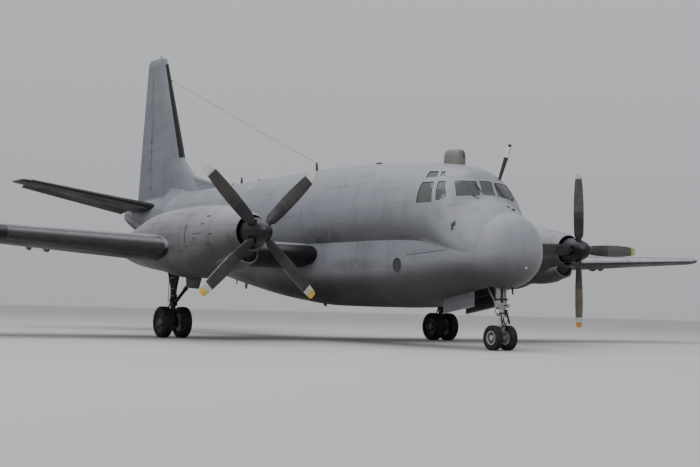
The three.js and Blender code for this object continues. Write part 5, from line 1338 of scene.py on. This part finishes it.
LAMP = (-0.175, -0.06, 1.06)
fork = Leg(0, NOSE_Y)
fork.ring("swivel", [(0.0, 0.93), (0.085, 0.93), (0.118, 0.95), (0.118, 1.0), (0.13, 1.02), (0.146, 1.10),
                     (0.146, 1.129), (0.0, 1.129)], LEG_SILVER, 40)
fork.bar("piston", (0, 0, 0.36), (0, 0, 0.96), 0.052, CHROME, 32)
fork.ring("foot", [(0.0, 0.30), (0.05, 0.30), (0.078, 0.34), (0.07, 0.46), (0.055, 0.5), (0.0, 0.5)],
          LEG_SILVER)
fork.pin("axle_lug", 0.046, 0, 0.342, 0.078, LEG_SILVER, 32)
fork.pin("knee", 0.045, -0.182, 0.652, 0.014)
fork.pin("tow_lug", 0.145, 0.02, 1.05, 0.034, LEG_SILVER)
fork.ring("band", [(0.0, 0.985), (0.124, 0.985), (0.139, 1.012), (0.139, 1.034), (0.0, 1.034)], sides=40)
fork.box("tie_lug", (0.0, -0.20, 1.055), (0.085, -0.11, 1.112), bevel=0.01)
fork.bar("nose_gear_tie", (0.045, -0.178, 1.095), (0.165, -0.178, 0.735), 0.027)
fork.bar("nose_gear_tie_rod", (0.155, -0.178, 0.765), (0.18, -0.178, 0.69), 0.014, CHROME, 16)
fork.bar("reservoir", (0.158, -0.02, 0.985), (0.158, -0.02, 1.115), 0.036, LEG_SILVER)
for z in (1.0, 1.045, 1.085):
    fork.bar("reservoir_ring", (0.158, -0.02, z), (0.158, -0.02, z + 0.02), 0.041)
fork.hose("steering_hose", [(-0.08, -0.12, 1.0), (-0.118, -0.17, 0.88), (-0.07, -0.19, 0.75),
                            (-0.04, -0.06, 0.57)])
fork.hose("return_hose", [(0.02, -0.14, 0.99), (0.085, -0.20, 0.86), (0.03, -0.215, 0.74),
                          (0.045, -0.06, 0.60)], 0.009)
fork.box("link_mount", (-0.06, -0.135, 0.90), (0.06, -0.05, 1.0), LEG_SILVER, 0.01)
fork.bar("valve", (0.10, -0.09, 0.96), (0.10, -0.09, 1.10), 0.026, sides=16)
fork.bar("lamp_arm", (-0.08, -0.02, 1.05), (-0.16, -0.05, 1.06), 0.018, LEG_SILVER)
fork.ring("lamp", [(0.0, 0.06), (0.035, 0.055), (0.058, 0.02), (0.066, -0.02), (0.066, -0.03), (0.058, -0.03),
                   (0.0, -0.026)], LEG_SILVER, centre=LAMP, axis=AFT)
fork.ring("lens", [(0.0, -0.048), (0.03, -0.044), (0.058, -0.03), (0.056, -0.022), (0.0, -0.02)], LENS,
          centre=LAMP, axis=AFT)
fork.hose("brake_hose", [(0.1, -0.09, 1.1), (0.13, -0.16, 0.95), (0.08, -0.17, 0.75), (0.05, -0.06, 0.55)],
          0.008)
for s in (-1, 1):
    fork.link("upper", [(-0.06, 0.93), (-0.06, 0.83), (-0.175, 0.64), (-0.195, 0.655)], s * 0.032, 0.011)
    fork.link("lower", [(-0.05, 0.42), (-0.195, 0.645), (-0.175, 0.665), (-0.05, 0.52)], s * 0.018, 0.008,
              LEG_SILVER)
join("nose_fork_strut", fork.parts, "nose_fork", node="nose_fork")

# Pod and mast: the pod's sections as (share of its length, share of its width)
POD_SECTIONS = [(0, 0.55), (0.02, 0.8), (0.06, 0.93), (0.12, 1), (0.4, 1), (0.62, 1), (0.72, 0.99),
                (0.81, 0.965), (0.89, 0.915), (0.95, 0.82), (0.985, 0.67), (1.0, 0.42)]
POD_FOOT, POD_REAR, POD_LENGTH, POD_POWER = 5.3, -7.25, 0.62, 3.2
pod_rings = []
for share, k in POD_SECTIONS[::-1]:
    ring = []
    for a in np.linspace(-0.5, math.pi + 0.5, 40):
        c, s = math.cos(a), math.sin(a)
        reach = (abs(c / 0.21) ** POD_POWER + abs(s / 0.4) ** POD_POWER) ** (-1 / POD_POWER)
        ring.append((reach * c * k, POD_REAR - POD_LENGTH * share, POD_FOOT + (reach * s) * (0.4 + 0.6 * k)))
    pod_rings.append(ring)
mark_rings = [[(x * 1.012, y - 0.006, POD_FOOT + (z - POD_FOOT) * 1.01) for x, y, z in ring]
              for ring in pod_rings]
window = block("window", (0.045, -7.95, 5.44), (0.135, -7.73, 5.645), POD_BAND, 0.02)
mark = combine(loft("mark", mark_rings, POD_BAND), [window], "INTERSECT")
join("pod_shell", [loft("pod", pod_rings, POD_PAINT), mark], "airframe", node="dorsal_pod")
foot, tip = Vector((0.65, -8.64, 4.44)), Vector((0.88, -8.97, 5.79))
along = tip - foot
join("mast_rod", [
    rod("low", foot, foot + along * 0.72, 0.034, MAST_DARK, 0.062),
    rod("collar", foot + along * 0.68, foot + along * 0.73, 0.068, MAST_DARK),
    rod("white", foot + along * 0.72, foot + along * 0.94, 0.062, WHITE, 0.058),
    rod("top", foot + along * 0.93, tip, 0.046, MAST_DARK),
    turned("shoe", [(0.0, 0.0), (0.09, 0.0), (0.085, 0.16), (0.045, 0.22), (0.0, 0.23)], foot, along,
           MAST_DARK, 24),
], "airframe", node="mast_antenna")


# Antennas, probes, wipers and lights
def fin_blade(x, y, z, chord, height, sweep, thick=0.035, material=MAST_DARK):
    """A blade antenna that stands up from its foot, or hangs down where its height is negative."""
    rings = []
    for t in np.linspace(0, 1, 6):
        section = profile(chord * (1 - 0.45 * t), thick / chord, 12)
        rings.append([(x + d, y + sweep * t + a, z + height * t) for a, d in section])
    return loft("blade", rings, material)


def tapered(start, end, radius, end_radius, sides=16):
    return rod("stub", start, end, radius, MAST_DARK, end_radius, sides)


join("blade_antennas", [
    fin_blade(0, 5.40, 5.50, 0.22, 0.29, 0.05),
    fin_blade(0, 0.02, 5.58, 0.20, 0.34, 0.08),
    fin_blade(0, 6.05, 5.52, 0.30, 0.10, 0.05, material=PAINT),
    fin_blade(0, 4.0, 5.54, 0.36, 0.09, 0.06, material=PAINT),
    fin_blade(0, -3.86, 5.52, 0.52, 0.10, 0.10, thick=0.13),
    tapered((0, -2.12, 5.50), (0, -1.80, 5.75), 0.009, 0.005, 10),
    tapered((0, -2.14, 5.47), (0, -2.11, 5.57), 0.035, 0.018),
    tapered((0, -2.62, 5.47), (0, -2.60, 5.59), 0.04, 0.02),
    tapered((0, 3.1, 5.45), (0, 3.12, 5.58), 0.03, 0.02),
    fin_blade(0, 4.76, 2.07, 0.28, -0.40, 0.08),
    fin_blade(0, -0.76, 1.24, 0.28, -0.14, 0.04),
    fin_blade(0, 5.58, 2.16, 0.14, -0.32, 0.04),
    fin_blade(0.13, -10.12, 1.76, 0.10, -0.24, -0.02),
], "airframe")
join("aerial_wire", [
    tube("wire", [(0, 11.92, 10.25), (0, 8.0, 8.79), (0, 4.0, 7.30), (0, 0.16, 5.90)], 0.006, HOSE, 8),
    rod("fitting", (0, 12.03, 10.28), (0, 11.88, 10.235), 0.022, HOSE),
    rod("spring", (0, 0.62, 6.07), (0, 0.30, 5.955), 0.014, LEG_SILVER),
], "airframe")
beacon = [(0.0, 0), (0.05, 0), (0.05, 0.02), (0.035, 0.05), (0.0, 0.06)]
join("fin_top_fittings", [rod("rod", (0, 13.02, 11.33), (0, 13.02, 11.44), 0.022, MAST_DARK, 0.016),
                          turned("beacon", beacon, (0, 13.5, 11.34), UP, LENS, 20)], "airframe")


def on_side(y, z, side, lift=0.0):
    return (side * (surface_x(y, z) + lift), y, z)


def front_point(x, z):
    """The station where the nose's surface crosses a place seen from ahead."""
    stations = np.linspace(-9.95, -8.0, 240)
    heights = [surface_z(y, x) for y in stations]
    return float(np.interp(z, heights, stations))


def wiper(name, points):
    """A wiper from (x, height) points: its pivot, the arm's end, and the two ends of its blade."""
    pivot, end = [(x, front_point(x, z) - 0.03, z) for x, z in points[:2]]
    low, high = [Vector((x, front_point(x, z) - 0.022, z)) for x, z in points[2:]]
    knob = [(0.0, -0.03), (0.026, -0.03), (0.026, 0.02), (0.014, 0.035), (0.0, 0.036)]
    centre = (pivot[0], pivot[1] + 0.02, pivot[2])
    join(name, [tube("arm", [pivot, end], 0.010, MAST_DARK, 8),
                tube("blade", [low, (low + high) / 2, high], 0.012, MAST_DARK, 8),
                turned("pivot", knob, centre, (0, -1, 0.3), MAST_DARK, 16)], "airframe")


wiper("wiper_starboard", [(-0.548, 4.241), (-0.438, 4.148), (-0.386, 4.605), (-0.254, 4.344)])
wiper("wiper_port", [(0.889, 4.197), (0.55, 4.27), (0.563, 4.247), (0.321, 4.639)])


def blister(y, z, side, long, tall, out):
    """A streamlined bulge on the fuselage's side."""
    rings = []
    for t in np.linspace(0, math.pi, 14):
        k = math.sin(t)
        ring = []
        for a in around(16):
            yy = y - long / 2 * math.cos(t)
            zz = z + tall / 2 * k * math.sin(a)
            ring.append((side * (surface_x(yy, zz) + out * k * math.cos(a)), yy, zz))
        rings.append(ring)
    return loft("blister", rings, MAST_DARK)


probes = []
for side in (-1, 1):
    x, y, z = on_side(-9.3, 3.36, side)
    mount = [on_side(-9.3, 3.36 + d, side, 0.012) for d in (-0.13, 0.0, 0.13)]
    pitot = [(x - side * 0.03, y + 0.05, z), (x + side * 0.07, y, z - 0.01),
             (x + side * 0.09, y - 0.05, z - 0.01), (x + side * 0.09, y - 0.20, z - 0.01)]
    probes += [blister(-9.29, 3.40, side, 0.13, 0.11, 0.012), tube("mount", mount, 0.018, MAST_DARK, 12),
               tube("pitot", pitot, 0.014, MAST_DARK, 12)]
join("air_data_probes", probes, "airframe")


def skin_strip(points, side, radius):
    """A dark sealed joint that follows the skin between places given as (station, height)."""
    path = []
    for (y0, z0), (y1, z1) in zip(points, points[1:]):
        count = max(2, int(math.hypot(y1 - y0, z1 - z0) / 0.12))
        path += [(y0 + (y1 - y0) * k / count, z0 + (z1 - z0) * k / count) for k in range(count)]
    path.append(points[-1])
    return tube("joint", [on_side(y, z, side, -radius * 0.55) for y, z in path], radius, MAST_DARK, 8)


join("skin_joints", [strip for side in (-1, 1) for strip in (
    skin_strip([(-7.35, 2.60), (-8.2, 2.63), (-9.15, 2.70)], side, 0.012),
    skin_strip([(-6.55, 2.72), (-6.55, 1.75)], side, 0.006))], "airframe")
join("nose_vents", [
    turned("vent", [(0.0, -0.02), (size, -0.02), (size * 0.9, 0.012), (0.0, 0.014)],
           (x, front_point(x, z), z), (0.1, -1, 0.7), MAST_DARK, 20)
    for x, z, size in ((0.30, 3.93, 0.055), (0.40, 3.85, 0.065), (0.52, 3.88, 0.035))], "airframe")
join("radome_fittings", [
    turned("mark", [(0.0, -0.02), (0.085, -0.02), (0.08, 0.006), (0.0, 0.01)], (0.29, -10.585, 2.54),
           (0.33, -0.93, -0.05), MAST_DARK, 24),
    turned("spot", [(0.0, -0.02), (0.03, -0.02), (0.028, 0.008), (0.0, 0.012)], (0.14, -10.64, 2.245),
           (0.2, -0.9, -0.3), LENS, 20)], "airframe")


def skin_oval(y, z, wide, tall, side, lift):
    """An oval that follows the skin, at a height off it."""
    return [on_side(y + wide * math.cos(a), z + tall * math.sin(a), side, lift) for a in around(32)]


windows = []
for y, z, wide, tall, side in PORTHOLES:
    rim = [[skin_oval(y, z, wide + by, tall + by, side, lift) for lift in (-0.02, 0.006)]
           for by in (0.03, 0.0)]
    pane = [skin_oval(y, z, wide + 0.01, tall + 0.01, side, lift) for lift in (-0.02, -0.012)]
    windows += [shell("frame", *rim, PAINT), loft("pane", pane, GLASS)]
join("porthole_windows", windows, "airframe")

lamp = [(0.0, -0.05), (0.035, -0.03), (0.045, 0.0), (0.04, 0.12), (0.0, 0.14)]
join("wing_tip_lights", [turned("lens", lamp, (m * 18.32, 0.62, 3.33), AFT, LENS, 20) for _, m in SIDES],
     "airframe")

hinge_fairings = []
for x, y, long in ((-9.08, 0.95, 0.6), (-9.63, 0.95, 0.5), (12.84, 0.6, 0.5), (13.26, 0.6, 0.4)):
    _, leading, chord, height, thickness = wing_station(abs(x))
    rings = []
    for t in np.linspace(0.06, math.pi - 0.06, 12):
        k = math.sin(t)
        yy = y - long / 2 * math.cos(t) - 0.1
        under = height - half_depth((yy - leading) / chord, thickness) * chord
        rings.append([(x + 0.05 * k * math.cos(a), yy, under - 0.03 * k + 0.085 * k * math.sin(a))
                      for a in around(16)])
    hinge_fairings.append(loft("fairing", rings, WING_PAINT))
join("hinge_fairings", hinge_fairings, "airframe")

wicks = []
for x in (17.62, 17.86):
    _, leading, chord, height, _ = wing_station(x)
    trailing = leading + chord
    wicks.append(tapered((x, trailing - 0.01, height), (x, trailing + 0.13, height - 0.01), 0.004, 0.002, 6))
pair(join("wicks", wicks), "static_wicks")

# Camera at the photograph's viewing angle, floor and light
CAMERA_PLACE = (-23.116, -38.260 + AXLE, 1.035)
YAW, PITCH, ROLL = (math.radians(a) for a in (32.546, 3.223, 1.411))
camera_data = bpy.data.cameras.new("camera")
camera_data.sensor_width = 36
camera_data.lens = 68.71
camera_data.clip_end = 1000
camera = linked("camera", camera_data)
look = Vector((math.sin(YAW) * math.cos(PITCH), math.cos(YAW) * math.cos(PITCH), math.sin(PITCH)))
right = Vector((math.cos(YAW), -math.sin(YAW), 0))
up = right.cross(look)
right, up = right * math.cos(ROLL) + up * math.sin(ROLL), up * math.cos(ROLL) - right * math.sin(ROLL)
camera.matrix_world = Matrix.Translation(CAMERA_PLACE) @ Matrix((right, up, -look)).transposed().to_4x4()
bpy.context.scene.camera = camera

FLOOR_REACH = 260
floor_mesh = bpy.data.meshes.new("floor")
corners = [(x * FLOOR_REACH, y * FLOOR_REACH, 0) for x, y in ((-1, -1), (1, -1), (1, 1), (-1, 1))]
floor_mesh.from_pydata(corners, [], [(0, 1, 2, 3)])
floor = linked("floor", floor_mesh)
floor_shader = Shader("floor_pale", Specular_IOR_Level=0.2)
floor_tone = floor_shader.mix(floor_shader.noise(0.12, 3.0), (0.42, 0.405, 0.388), (0.47, 0.455, 0.436))
floor_mesh.materials.append(floor_shader.done(floor_tone, 0.85))

# The sky is paler towards its top
SKY = ((0.0, (0.52, 0.525, 0.545, 1)), (0.9, (0.98, 1.01, 1.10, 1)))
world = bpy.data.worlds.new("world")
bpy.context.scene.world = world
world.use_nodes = True
tree = world.node_tree
background = tree.nodes["Background"]
gradient = tree.nodes.new("ShaderNodeValToRGB")
place = tree.nodes.new("ShaderNodeTexCoord")
split = tree.nodes.new("ShaderNodeSeparateXYZ")
tree.links.new(place.outputs["Generated"], split.inputs[0])
tree.links.new(split.outputs[2], gradient.inputs[0])
for stop, (position, colour) in zip(gradient.color_ramp.elements, SKY):
    stop.position = position
    stop.color = colour
tree.links.new(gradient.outputs[0], background.inputs[0])
background.inputs[1].default_value = 0.9


LIGHT_POWER = 9000


def area_light(name, at, target, size):
    data = bpy.data.lights.new(name, "AREA")
    data.size = size
    data.energy = LIGHT_POWER
    light = linked(name, data)
    light.location = at
    light.rotation_euler = (Vector(target) - Vector(at)).to_track_quat("-Z", "Y").to_euler()


area_light("key", (-26, -30, 34), (0, -2, 3), 30)
area_light("top", (0, 0, 42), (0, 0, 0), 40)
